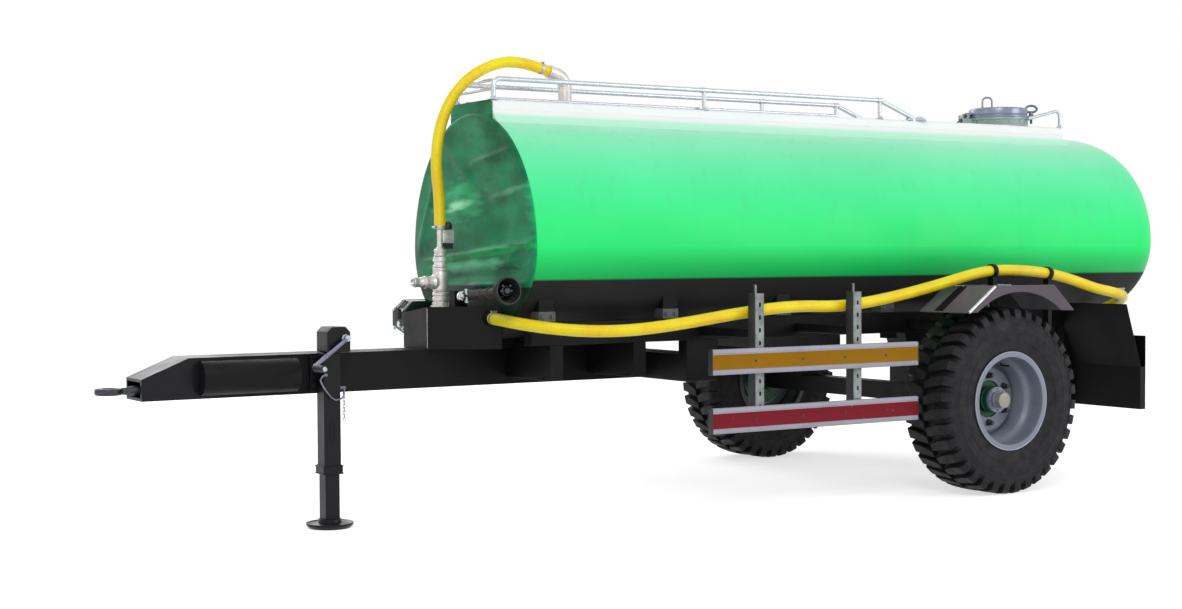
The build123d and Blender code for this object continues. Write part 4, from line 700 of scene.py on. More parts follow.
def band_clamp(shape, line, share, radius):
    """Worm-drive band round a hose at a share of its length, with its screw on top."""
    at = round(share * len(line))
    centre = line[at]
    axis = (line[min(at + 1, len(line) - 1)] - line[max(at - 1, 0)]).normalized()
    half, outer = 0.006, radius + 0.0012
    section = [(outer, -half), (outer, half), (radius, half), (radius, -half)]
    shape.lathe(section, centre, axis, 36, closed=True)
    up = Z if abs(axis.z) < 0.9 else -X
    over = (up - axis * axis.dot(up)).normalized()
    side = axis.cross(over)
    place = centre + over * (radius + 0.004)
    shape.lathe([(0.0045, -0.01), (0.0045, 0.01)], place, side, 12)
    shape.hexagon(place + side * 0.01, side, 0.005, 0.006)


make_camera()
fill_hose, fill_line = make_hose("fill_hose_ribbed", "fill_hose", FILL_ROUTE, FILL_HOSE_DIAMETER)
side_hose, side_line = make_hose("side_hose_ribbed", "side_hose", SIDE_ROUTE, SIDE_HOSE_DIAMETER)
coupling = make_coupling()

bands = Shape()
for share in (0.006, 0.965):
    band_clamp(bands, fill_line, share, FILL_HOSE_DIAMETER / 2)
for share in (0.004, 0.832, 0.992):
    band_clamp(bands, side_line, share, SIDE_HOSE_DIAMETER / 2)
bands.finish("hose_bands", galvanised, "galvanised", angle=30)
dress("hose_clips", black_paint, 0.0008)

# ---- wheels --------------------------------------------------------------------------------------
LUGS = 36
LUG_SPREAD = radians(0.35)
LUG_STATIONS = [  # offset from the tyre's middle, top radius, base radius, half width and skew in degrees
    (0.004, 0.399, 0.37, 2.0, 3.4), (0.03, 0.4, 0.37, 2.7, 2.2), (0.06, 0.4, 0.369, 3.0, 1.0),
    (0.092, 0.3995, 0.367, 3.0, 0.1), (0.11, 0.3975, 0.363, 2.9, 0), (0.1205, 0.39, 0.358, 2.8, 0),
    (0.1268, 0.376, 0.354, 2.7, 0), (0.1292, 0.36, 0.351, 2.5, 0)]
CARCASS = [  # radius and offset from the tyre's middle, tread to bead
    (0.377, 0.0), (0.376, 0.05),
    (0.374, 0.09), (0.371, 0.105), (0.366, 0.117), (0.36, 0.1235), (0.352, 0.1265), (0.3505, 0.1278),
    (0.3465, 0.1278), (0.345, 0.127), (0.33, 0.1288), (0.312, 0.1293), (0.3105, 0.13), (0.306, 0.13),
    (0.3045, 0.1292), (0.288, 0.1288), (0.268, 0.1268), (0.2665, 0.1278), (0.2625, 0.1278), (0.261, 0.1262),
    (0.245, 0.122), (0.232, 0.1188), (0.222, 0.1172), (0.2155, 0.116), (0.2113, 0.1142), (0.1947, 0.1138)]
STUDS = 6
STUD_CIRCLE_RADIUS = 0.1025
DISC_FACE = -0.016             # outer face of the disc, outboard of the tyre's middle
TRIM_BOLTS = 8
TRIM_BOLT_RADIUS = 0.046


def wheel_point(sign, angle, radius, offset):
    return Vector((AXLE_X + radius * cos(angle), sign * (WHEEL_Y + offset), AXLE_Z + radius * sin(angle)))


def make_tyre(side, sign):
    """Carcass with two rows of block lugs, half a pitch apart."""
    tyre = Shape()
    outline = CARCASS + [(radius, -offset) for radius, offset in reversed(CARCASS[1:])]
    tyre.lathe(outline, (AXLE_X, sign * WHEEL_Y, AXLE_Z), Y * sign, 108, closed=True)
    for half, shift in ((-1, 0), (1, 0.5)):
        for middle in turns(LUGS, shift):
            rings = []
            for offset, top, base, width, skew in LUG_STATIONS:
                left = middle + radians(skew - width)
                right = middle + radians(skew + width)
                corners = ((left - LUG_SPREAD, base), (left, top), (right, top), (right + LUG_SPREAD, base))
                rings.append([wheel_point(sign, angle, radius, half * offset) for angle, radius in corners])
            tyre.rings(rings)
    tyre.finish(f"{side}_tyre_rubber", rubber, "tyre", angle=25, body=f"{side}_wheel",
                replaces=f"{side}_tyre")


def make_wheel_fittings(side, sign):
    """Studs with nuts, rolled rim lip, the hub's trim and the tyre's valve."""
    outward = Y * sign
    centre = Vector((AXLE_X, sign * WHEEL_Y, AXLE_Z))
    body = f"{side}_wheel"
    nuts = Shape()
    for angle in turns(STUDS, 0.5):
        place = wheel_point(sign, angle, STUD_CIRCLE_RADIUS, DISC_FACE)
        nuts.lathe([(0.0155, 0), (0.0155, 0.003), (0.0135, 0.005)], place, outward, 24)
        nuts.hexagon(place + outward * 0.004, outward, 0.0132, 0.014)
        nuts.lathe([(0.0088, 0), (0.0088, 0.027), (0.0075, 0.029)], place, outward, 16)
    nuts.finish(f"{side}_wheel_nuts", dark_steel, "shaft_steel", 0.0006, body=body)

    rolled = [(0.2035, 0.116), (0.2075, 0.121), (0.2112, 0.1216), (0.2122, 0.1196), (0.2112, 0.1176)]
    lip = Shape().lathe(rolled, centre, outward, 96, closed=True)
    lip.finish(f"{side}_rim_lip", lip_paint, "rim_paint", body=body)

    trim = Shape()
    trim.lathe([(0.057, -0.008), (0.0585, -0.006), (0.0585, 0.0), (0.056, 0.002)], centre, outward, 48)
    trim.lathe([(0.035, 0.0405), (0.037, 0.042), (0.037, 0.047), (0.0345, 0.049)], centre, outward, 48)
    trim.lathe([(0.032, 0.08), (0.029, 0.0812), (0.015, 0.0818)], centre, outward, 32)
    for angle in turns(TRIM_BOLTS):
        trim.hexagon(wheel_point(sign, angle, TRIM_BOLT_RADIUS, 0.04), outward, 0.0045, 0.004)
    trim.finish(f"{side}_hub_trim", hub_paint, "hub_paint", 0.0004, body=body)

    valve = Shape()
    foot, bend, tip = (wheel_point(sign, radians(75), radius, offset)
                       for radius, offset in ((0.164, 0.014), (0.152, 0.022), (0.15, 0.06)))
    valve.tube([foot, bend, bend.lerp(tip, 0.15), tip], 0.004, 10)
    valve.lathe([(0.0052, 0), (0.0052, 0.012), (0.004, 0.014)], tip, outward, 10)
    valve.finish(f"{side}_tyre_valve", dark_steel, "tyre", body=body)


for side, sign in SIDES:
    make_tyre(side, sign)
    make_wheel_fittings(side, sign)
    dress(f"{side}_rim", rim_paint, 0.0015)
    dress(f"{side}_hub", hub_paint, 0.0015)

# ---- tank ----------------------------------------------------------------------------------------
shell_low, shell_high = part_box("tank_shell")
dome_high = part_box("tank_rear_head")[1]
spine_low, spine_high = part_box("tank_spine")
plate_low, plate_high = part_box("tank_front_head")
TANK_HALF_WIDTH = shell_high.y
TANK_CENTRE_Z = 1.06          # widest line of the tank
TANK_RISE = shell_high.z - TANK_CENTRE_Z
TANK_DROP = TANK_CENTRE_Z - shell_low.z
SPINE_TOP = spine_high.z
SPINE_HALF = spine_high.y


def tank_ring(steps, share=1.0):
    """Y and Z on the tank's cross-section, from the top towards +Y."""
    points = []
    for angle in turns(steps):
        height = TANK_RISE if cos(angle) >= 0 else TANK_DROP
        points.append((TANK_HALF_WIDTH * share * sin(angle), TANK_CENTRE_Z + height * share * cos(angle)))
    return points


def tank_surface_z(y):
    return TANK_CENTRE_Z + TANK_RISE * sqrt(max(1 - (y / TANK_HALF_WIDTH) ** 2, 0))


# dents and pressed creases of the front plate: ends in Y and Z, half width and how far they stand out
CREASES = [((0.4, 1.012), (-0.505, 1.078), 0.01, 0.012), ((0.4, 0.972), (-0.33, 1.0), 0.018, 0.01),
           ((0.24, 0.905), (-0.5, 0.925), 0.01, 0.012), ((-0.05, 1.405), (-0.33, 1.44), 0.014, 0.01),
           ((-0.22, 1.262), (-0.48, 1.282), 0.016, 0.01), ((0.34, 1.195), (0.12, 1.215), 0.014, 0.01),
           ((0.44, 1.1), (0.3, 1.36), 0.02, 0.008), ((-0.02, 1.32), (-0.3, 1.15), 0.08, -0.009),
           ((0.2, 1.5), (0.02, 1.36), 0.03, 0.006)]
CREASE_RUN_OUT = 0.05
PORT_CENTRE = (-0.423, 1.022)
PORT_HALVES = (0.084, 0.035)
PLATE_STAND = 0.006            # the dents stay in front of the shell's end
PLATE_LIP = 0.006
PLATE_EVEN_EDGE = 0.05         # share of the plate next to its rim where the dents fade out


def plate_relief(y, z):
    """How far the front plate stands out at a point: its creases, and the ring and hollow of its port."""
    total = 0.0
    for (y0, z0), (y1, z1), width, height in CREASES:
        along_y, along_z = y1 - y0, z1 - z0
        length = hypot(along_y, along_z)
        share = ((y - y0) * along_y + (z - z0) * along_z) / length ** 2
        across = abs((y - y0) * along_z - (z - z0) * along_y) / length
        beyond = max(-share, share - 1, 0) * length
        total += height * exp(-(across / width) ** 2 - (beyond / CREASE_RUN_OUT) ** 2)
    ring = hypot((y - PORT_CENTRE[0]) / PORT_HALVES[0], (z - PORT_CENTRE[1]) / PORT_HALVES[1])
    return total + 0.007 * exp(-((ring - 1) / 0.13) ** 2) - 0.004 * exp(-(ring / 0.8) ** 6)


def make_front_plate():
    """Creased plate with a raised rim, and the closed front end of the spine above it."""
    steps, rows, within = 180, 70, 0.998
    rings = [[(plate_high.x, y, z) for y, z in tank_ring(steps, 0.999)]]
    for row in range(rows):
        share = 1 - row / rows
        base = plate_low.x - PLATE_STAND + PLATE_LIP * exp(-((1 - share) / 0.012) ** 2)
        fade = min((1 - share) / PLATE_EVEN_EDGE, 1)
        rings.append([(base - fade * plate_relief(y, z), y, z) for y, z in tank_ring(steps, share * within)])
    plate = Shape().rings(rings)
    end = [(-0.17, -0.1), (0.17, -0.1), (0.17, 0.195), (0.15, 0.207), (-0.15, 0.207), (-0.17, 0.195)]
    plate.plate(end, placed((plate_low.x, 0, SPINE_TOP - 0.207), Y, Z, X), plate_high.x - plate_low.x)
    plate.finish("tank_front_plate", front_shaded_green, "green_paint", angle=40, replaces="tank_front_head")


REAR_FULLNESS = 2.4            # 2 is an ellipsoid
APEX_RISE = 0.14


def make_rear_dome():
    """Full rounded head whose tip stands above the tank's middle."""
    steps, rows = 160, 40
    rings = []
    for row in range(rows):
        turn = pi / 2 * row / (rows - 0.5)
        share = cos(turn) ** (2 / REAR_FULLNESS)
        reach = sin(turn) ** (2 / REAR_FULLNESS)
        x = shell_high.x + (dome_high.x - shell_high.x) * reach
        rings.append([(x, y, z + APEX_RISE * reach ** 3) for y, z in tank_ring(steps, share)])
    dome = Shape().rings(rings)
    dome.finish("tank_rear_dome", tank_green, "green_paint", angle=80, replaces="tank_rear_head")


def make_front_weld():
    """Ground weld round the shell behind its front plate."""
    line = [(plate_high.x + 0.003, y, z) for y, z in tank_ring(200)]
    Shape().tube(line, 0.0022, 6, closed=True).finish("tank_front_weld", tank_green, "green_paint")


SPINE_CORNER = 0.035
FLARE_REACH = 0.042
FLARE_TOP = 1.618
FLARE_ROOT = 0.008             # how far the skirt reaches into the spine's wall
FLARE_SUNK = 0.035             # and how far below the tank's surface


def make_spine_flares():
    """Concave skirt from the spine's sides and rear end down to the tank."""
    plan = []                  # points round the spine's foot, each with the way it faces
    for side in (-1, 1):
        run = [(x, side * SPINE_HALF, 0, side) for x in (spine_low.x, spine_high.x - SPINE_CORNER - 0.02)]
        for index in range(7):
            out_x, out_y = sin(radians(15 * index)), cos(radians(15 * index))
            run.append((spine_high.x - SPINE_CORNER + SPINE_CORNER * out_x,
                        side * (SPINE_HALF - SPINE_CORNER + SPINE_CORNER * out_y), out_x, side * out_y))
        plan += run if side < 0 else run[::-1]
    rings = []
    for x, y, out_x, out_y in plan:
        sunk = tank_surface_z(y) - FLARE_SUNK
        ring = []
        for share in (index / 8 for index in range(9)):
            at_y = y + out_y * FLARE_REACH * share
            ground = tank_surface_z(at_y)
            rise = (FLARE_TOP - ground) * (1 - share) ** 2.4 + 0.0015
            ring.append((x + out_x * FLARE_REACH * share, at_y, ground + rise))
        for reach, z in ((FLARE_REACH * 0.9, sunk), (-FLARE_ROOT, sunk), (-FLARE_ROOT, FLARE_TOP + 0.004)):
            ring.append((x + out_x * reach, y + out_y * reach, z))
        rings.append(ring)
    Shape().rings(rings).finish("spine_flares", spine_paint, "white_paint", angle=50)


make_front_plate()
make_rear_dome()
make_front_weld()
make_spine_flares()
dress("tank_shell", tank_green)
dress("tank_spine", spine_paint, 0.012, 3)
dress("tank_saddles", black_paint, 0.003)

# ---- railings and elbow --------------------------------------------------------------------------
for name in ("side_railings", "railing_bars", "grab_rails"):
    dress(name, rail_metal)
dress("filler_elbow", cast_metal)
rail_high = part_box("side_railings")[1]
grab_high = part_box("grab_rails")[1]
RAILING_Y = rail_high.y - 0.01
POST_X = {-1: (0.012, 1.047, 2.046), 1: (0.012, 1.6, 2.046)}     # behind the tank's front
POST_FOOT = [(0.02, 0.0005), (0.02, 0.0035), (0.0155, 0.005), (0.0118, 0.011), (0.0105, 0.014)]
SLOPE_FOOT = [(0.022, 0.0005), (0.021, 0.004), (0.016, 0.008), (0.012, 0.012)]
GRAB_FOOT = [(0.018, 0.0005), (0.018, 0.003), (0.0125, 0.006), (0.0092, 0.012)]
PAD = [(0.034, -0.001), (0.031, 0.004), (0.022, 0.013), (0.012, 0.018), (0.004, 0.0195)]
feet, sleeves = Shape(), Shape()
for side, places in POST_X.items():
    for x in places:
        feet.lathe(POST_FOOT, (shell_low.x + x, side * RAILING_Y, SPINE_TOP), Z, 24)
    feet.lathe(SLOPE_FOOT, (rail_high.x - 0.028, side * RAILING_Y, SPINE_TOP), Z, 24)
    feet.lathe(GRAB_FOOT, (grab_high.x - 0.008, side * (grab_high.y - 0.008), SPINE_TOP), Z, 24)
    feet.lathe(PAD, (rail_high.x + 0.04, side * RAILING_Y, SPINE_TOP), Z, 28)
    for x in places[1:]:
        top = (shell_low.x + x, side * RAILING_Y, rail_high.z - 0.01)
        sleeves.lathe([(0.0122, -0.016), (0.0122, 0.016)], top, X, 20)
feet.finish("railing_feet", rail_metal, "galvanised")
sleeves.finish("railing_sleeves", rail_metal, "galvanised", 0.001)

ELBOW_FLANGE_RADIUS = 0.048
ELBOW_BOLT_RADIUS = 0.0385
elbow = Shape()
elbow_foot = Vector((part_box("filler_elbow")[1].x - ELBOW_FLANGE_RADIUS, 0, SPINE_TOP))
for angle in turns(4, 0.5):
    bolt = elbow_foot + (X * cos(angle) + Y * sin(angle)) * ELBOW_BOLT_RADIUS + Z * 0.0095
    elbow.hexagon(bolt, Z, 0.0065, 0.006, 0.0015)
elbow.lathe([(0.0305, 0.01), (0.0335, 0.011), (0.0315, 0.018), (0.03, 0.021)], elbow_foot, Z, 36)
elbow.finish("filler_elbow_fittings", galvanised, "galvanised", 0.0006)

# ---- manhole -------------------------------------------------------------------------------------
# worked out about its own axis, with the latch towards +X, then turned to its place
RIM_Z = 1.698
RIM = Vector((0, 0, RIM_Z))
MANHOLE_X = 1.89
MANHOLE_TURN = radians(-32)
MANHOLE = Matrix.Translation((MANHOLE_X, 0, 0)) @ Matrix.Rotation(MANHOLE_TURN, 4, "Z")
HINGE_REACH, HINGE_Z = 0.175, RIM_Z + 0.012
RIM_BOLT_RADIUS = 0.1495
STUD_THREADS, THREAD_PITCH = 9, 0.0026


def at_manhole(shape):
    """Turns what was built about the Z axis to the manhole's place."""
    bmesh.ops.transform(shape.mesh, matrix=MANHOLE, verts=shape.mesh.verts)
    return shape


def make_lid():
    """Domed pan with its hinge strap, bail handle, cross ribs underneath and a rubber seal."""
    seal = Shape()
    seal.lathe([(0.134, 0.0002), (0.1425, 0.0002), (0.1425, 0.002), (0.134, 0.002)], RIM, Z, 72, closed=True)
    at_manhole(seal).finish("manhole_seal", black_plastic, "black_plastic", body="lid")
    lid = Shape()
    lid.lathe([(0.128, 0.0012), (0.1455, 0.0012), (0.146, 0.003), (0.146, 0.01), (0.144, 0.012),
               (0.1405, 0.013), (0.14, 0.016), (0.1425, 0.0185), (0.143, 0.042), (0.1415, 0.047),
               (0.137, 0.05), (0.125, 0.0522), (0.1, 0.0545), (0.07, 0.0563), (0.04, 0.0575),
               (0.012, 0.058)], RIM, Z, 96)
    lid.box((-0.165, -0.036, RIM_Z + 0.02), (-0.118, 0.036, RIM_Z + 0.03))
    strap = ((-0.178, 0.004), (-0.165, 0.004), (-0.156, 0.02), (-0.156, 0.03), (-0.17, 0.03), (-0.178, 0.02))
    lid.rings([[(x, y, RIM_Z + z) for x, z in strap] for y in (-0.034, 0.034)])
    lid.lathe([(0.0118, -0.036), (0.0118, 0.036)], (-HINGE_REACH, 0, HINGE_Z), Y, 24)
    front, rear, bend, bend_z = -0.0775, -0.0305, 0.02, 1.786
    handle = [(front, 0, RIM_Z + 0.046), (front, 0, bend_z)]
    handle += arc((front + bend, 0, bend_z), bend, 180, 90, 6)[1:]
    handle += arc((rear - bend, 0, bend_z), bend, 90, 0, 6)
    lid.tube(handle + [(rear, 0, RIM_Z + 0.046)], 0.0045, 14)
    for x in (front, rear):
        lid.lathe([(0.0085, -0.002), (0.008, 0.003), (0.0052, 0.006)], (x, 0, RIM_Z + 0.056), Z, 16)
    for turn in (45, 135):
        lid.box((-0.105, -0.006, RIM_Z - 0.01), (0.105, 0.006, RIM_Z + 0.004),
                Matrix.Rotation(radians(turn), 4, "Z"))
    lid.lathe([(0.118, -0.006), (0.118, 0.004), (0.11, 0.004), (0.11, -0.006)], RIM, Z, 60, closed=True)
    at_manhole(lid).finish("manhole_lid_pan", lid_paint, "galvanised", 0.0006, angle=30, body="lid",
                           replaces="manhole_lid")


def make_eye_nut():
    """Latch arm, threaded stud and eye nut."""
    latch = Shape()
    stud = Vector((0.165, 0, RIM_Z))
    latch.box((0.146, -0.015, RIM_Z + 0.005), (0.182, 0.015, RIM_Z + 0.017))
    latch.lathe([(0.006, 0.0), (0.006, 0.064)], stud - Z * 0.024, Z, 16)
    for index in range(STUD_THREADS):
        thread = stud + Z * (index * THREAD_PITCH - 0.023)
        latch.lathe([(0.0058, 0), (0.0068, 0.0012), (0.0058, 0.0024)], thread, Z, 16)
    nut = [(0.0135, 0.017), (0.0135, 0.019), (0.0105, 0.021), (0.0105, 0.029), (0.0075, 0.036)]
    latch.lathe(nut, stud, Z, 24)
    latch.tube(circle(stud + Z * 0.0495, X * 0.028, Z * 0.0165, 32), 0.0058, 12, closed=True)
    at_manhole(latch).finish("manhole_eye_nut", bail_steel, "galvanised", 0.0005, body="lid",
                             replaces="manhole_latch")


def make_collar_fittings():
    """Gussets and pin ends of the hinge, and the ring and bolts under the collar's rim."""
    hinge = Shape()
    gusset = [(-0.232, -0.0405), (-0.187, -0.0405), (-0.187, -0.002)]
    for y in (-0.039, 0.049):
        hinge.plate(gusset, placed((0, y, RIM_Z), X, Z, -Y), 0.01)
    for side in (-1, 1):
        end = (-HINGE_REACH, side * 0.0585, HINGE_Z)
        hinge.lathe([(0.0085, 0), (0.0085, 0.004), (0.0065, 0.006)], end, Y * side, 16)
    at_manhole(hinge).finish("manhole_hinge_gussets", dark_steel, "galvanised", 0.0008)
    rim = Shape()
    for index in (0, 1, 2, 3, 4, 5, 8, 9, 10, 11, 12, 13):
        # none at the hinge, nor at the latch, where 6 and 7 would be
        angle = radians(210 + 300 * index / 13)
        place = (RIM_BOLT_RADIUS * cos(angle), RIM_BOLT_RADIUS * sin(angle), RIM_Z - 0.0155)
        rim.hexagon(place, -Z, 0.0042, 0.005)
    rim.lathe([(0.1458, -0.041), (0.15, -0.0405), (0.1462, -0.034)], RIM, Z, 72, closed=True)
    at_manhole(rim).finish("manhole_rim_bolts", galvanised, "galvanised")


make_lid()
make_eye_nut()
make_collar_fittings()
dress("manhole_collar", collar_paint, 0.0012)

# ---- drawbar -------------------------------------------------------------------------------------
eye_low, eye_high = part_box("drawbar_eye")
beam_low, beam_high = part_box("drawbar_beam")
HEAD_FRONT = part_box("drawbar_head")[0].x
EYE_RADIUS = (eye_high.y - eye_low.y) / 2
EYE_HOLE = 0.025
EYE_THICKNESS = 0.026
EYE_BLUNTNESS = 0.72           # 1 is an ellipse
EYE_CENTRE = Vector((eye_low.x + EYE_RADIUS, 0, (eye_low.z + eye_high.z) / 2))
HOUSING_Y = 0.09
HOUSING_XS = (-2.255, -1.89)
HOUSING_SEAM_ZS = (0.5225, 0.6505)


def make_eye():
    """Forged ring with a shank that widens towards the drawbar's head."""
    def blunted(value):
        return copysign(abs(value) ** EYE_BLUNTNESS, value)

    middle, reach = (EYE_RADIUS + EYE_HOLE) / 2, (EYE_RADIUS - EYE_HOLE) / 2
    section = [(middle + reach * blunted(cos(turn)), EYE_THICKNESS / 2 * blunted(sin(turn)))
               for turn in turns(28)]
    eye = Shape()
    eye.lathe(section, EYE_CENTRE, Z, 64, closed=True)
    eye.lathe([(0.0125, EYE_RADIUS - 0.01), (0.014, EYE_RADIUS + 0.012), (0.0185, EYE_RADIUS + 0.04),
               (0.0235, EYE_RADIUS + 0.075), (0.024, eye_high.x - EYE_CENTRE.x)], EYE_CENTRE, X, 32)
    eye.finish("forged_eye", dark_steel, "eye_steel", 0.001, angle=50, replaces="drawbar_eye")


def make_drawbar_welds():
    """Seams of the head, the housings and the eye's shank."""
    welds = Shape()
    for x in (HEAD_FRONT + 0.3, beam_high.x - 0.001):
        for y in (-HOUSING_Y - 0.0005, HOUSING_Y + 0.0005):
            welds.tube([(x, y, beam_low.z + 0.001), (x, y, beam_high.z - 0.001)], 0.004, 8)
    for side in (-1, 1):
        for z in HOUSING_SEAM_ZS:
            welds.tube([(x, side * HOUSING_Y, z) for x in HOUSING_XS], 0.0035, 8)
    shank_end = Vector((eye_high.x + 0.001, 0, EYE_CENTRE.z))
    welds.tube(circle(shank_end, Y * 0.03, Z * 0.026, 24), 0.0035, 8, closed=True)
    welds.finish("drawbar_welds", black_paint, "black_paint")


make_eye()
make_drawbar_welds()
dress("drawbar_head", jack_paint, 0.004, 3)
dress("drawbar_beam", black_paint, 0.005, 3)

# ---- jack ----------------------------------------------------------------------------------------
JACK_X, JACK_Y = -1.77, -0.136
JACK = Vector((JACK_X, JACK_Y, 0))
TUBE_HALF = 0.034
TUBE_FACE = JACK_Y - TUBE_HALF
PIN = Vector((JACK_X + TUBE_HALF, JACK_Y - 0.027, 0.533))
PIN_END = PIN + X * 0.018
GRIP_START = Vector((-1.8646, -0.222, 0.6161))
GRIP_LENGTH = 0.104
GRIP_GROOVES = 7
GROOVE_PITCH = 0.0115
CHAIN_LINKS = 10
LINK_PITCH = 0.0125


def make_jack_fittings():
    """Flange bolts, two collars at the tube's foot, and the lips of the slot in its face."""
    jack = Shape()
    for x in (JACK_X - 0.048, JACK_X + 0.048):
        for z in (0.545, 0.628):
            jack.hexagon((x, JACK_Y + TUBE_HALF - 0.0005, z), -Y, 0.011, 0.01, 0.002)
    for z in (0.2085, 0.2355):
        corner = Vector((0.0425, 0.0425, 0.0015))
        jack.box(JACK + Z * z - corner, JACK + Z * z + corner)
    slot_half, lip, slot_low, slot_high = 0.0065, 0.0012, 0.33, 0.42
    back, front = TUBE_FACE + 0.001, TUBE_FACE - 0.0015
    for x in (JACK_X - slot_half, JACK_X + slot_half):
        jack.box((x - lip, front, slot_low), (x + lip, back, slot_high))
    for z in (slot_low, slot_high):
        jack.box((JACK_X - slot_half - lip, front, z - lip), (JACK_X + slot_half + lip, back, z + lip))
    jack.finish("jack_fittings", jack_paint, "black_paint", 0.0008)


def make_bail_and_chain():
    """Wire bail across the tube's face, and the chain that hangs from the same pin."""
    bail = Shape()
    bends = [(-0.028, 0.585), (-0.042, 0.58), (-0.051, 0.566), (-0.04, 0.542), (-0.025, 0.52),
             (-0.008, 0.498), (0.011, 0.488), (0.034, 0.492), (0.045, 0.506)]
    bail.tube([(JACK_X + x, TUBE_FACE - 0.008, z) for x, z in bends] + [PIN_END], 0.0036, 10)
    bail.lathe([(0.008, 0), (0.008, 0.006), (0.005, 0.011)], (JACK_X - 0.027, TUBE_FACE, 0.584), -Y, 16)
    bail.lathe([(0.006, -0.002), (0.006, 0.022), (0.0045, 0.024)], PIN, X, 16)
    bail.finish("jack_wire_bail", bail_steel, "black_paint")
    chain = Shape()
    for link in range(CHAIN_LINKS):
        centre = PIN_END - Z * (0.0085 + LINK_PITCH * link)
        flat = X if link % 2 else Y
        chain.tube(circle(centre, flat * 0.0042, Z * 0.0085, 16), 0.0015, 6, closed=True)
    chain.finish("jack_chain", galvanised, "galvanised")


def make_crank_fittings():
    """Grooved grip, the washers on the crank's two ends, and the weld round the foot."""
    profile = [(0.01, 0.004), (0.0125, 0.008)]
    for index in range(GRIP_GROOVES):
        along = 0.012 + index * GROOVE_PITCH
        profile += [(0.0132, along), (0.0132, along + 0.0075), (0.012, along + 0.0095)]
    profile += [(0.0128, 0.0935), (0.011, 0.0975)]
    Shape().lathe(profile, GRIP_START, -Y, 28).finish("jack_grip", black_plastic, "black_plastic")
    ends = Shape()
    ends.lathe([(0.0085, 0.0), (0.0092, 0.004), (0.008, 0.009), (0.004, 0.012)],
               GRIP_START - Y * (GRIP_LENGTH - 0.006), -Y, 24)
    ends.lathe([(0.015, -0.001), (0.015, 0.006), (0.0115, 0.009), (0.0115, 0.028)],
               (-1.724, -0.192, 0.722), -Y, 28)
    ends.finish("jack_crank_fittings", galvanised, "galvanised", 0.0006)
    foot = Shape().lathe([(0.044, 0.0125), (0.041, 0.0165), (0.04, 0.03), (0.038, 0.033)], JACK, Z, 36)
    foot.finish("jack_foot_weld", jack_paint, "black_paint", body="jack_foot_leg")


dress("jack_tube", jack_paint, 0.003, 3)
dress("jack_leg", jack_paint, 0.003, 3)
dress("jack_head", jack_paint, 0.006, 3)
dress("jack_crank", bail_steel)
make_jack_fittings()
make_bail_and_chain()
make_crank_fittings()

# ---- pump, gearbox and fill valve ----------------------------------------------------------------
pump_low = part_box("pump_housing")[0]
gear_low, gear_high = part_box("pump_gearbox")
PUMP_TOP = 0.83
VALVE_X = -1.222
VALVE = Vector((VALVE_X, 0, 0))
NOZZLE = Vector((VALVE_X, 0, 0.926))
NOZZLE_LENGTH = 0.121
# the valve's parts from the pump upwards, as radius and height
VALVE_PARTS = {
    "boss": [(0.04, 0.8245), (0.04, 0.83), (0.0385, 0.832)],
    "union": [(0.03, 0.83), (0.033, 0.833), (0.033, 0.844), (0.0295, 0.846), (0.0295, 0.85),
              (0.033, 0.852), (0.033, 0.864), (0.029, 0.8665), (0.029, 0.8705), (0.0325, 0.873),
              (0.0325, 0.883), (0.03, 0.885)],
    "tee": [(0.028, 0.885), (0.03, 0.89), (0.032, 0.9), (0.032, 0.956), (0.03, 0.965),
            (0.029, 0.97), (0.0305, 0.972), (0.0305, 0.983), (0.029, 0.985)],
    "coupler": [(0.0265, 0.985), (0.0295, 0.987), (0.03, 0.993), (0.0255, 0.996), (0.0245, 1.002),
                (0.0255, 1.008), (0.03, 1.011), (0.03, 1.018), (0.0275, 1.02), (0.0275, 1.027),
                (0.024, 1.03)],
    "collar": [(0.0215, 1.03), (0.025, 1.032), (0.025, 1.038), (0.022, 1.04), (0.022, 1.046),
               (0.025, 1.048), (0.025, 1.057), (0.0215, 1.0595)],
    "stem": [(0.017, 1.059), (0.017, 1.064), (0.012, 1.067), (0.012, 1.1395)]}
NOZZLE_PROFILE = [(0.0295, 0.018), (0.031, 0.03), (0.027, 0.036), (0.0245, 0.042), (0.024, 0.06),
                  (0.0262, 0.063), (0.0262, 0.071), (0.0232, 0.074), (0.0215, 0.088), (0.0185, 0.094),
                  (0.0185, 0.108), (0.0198, 0.111), (0.0198, 0.118), (0.0165, NOZZLE_LENGTH)]
UNION_RIBS = 10
LEVER_RIBS, LEVER_RIB_PITCH = 6, 0.0086


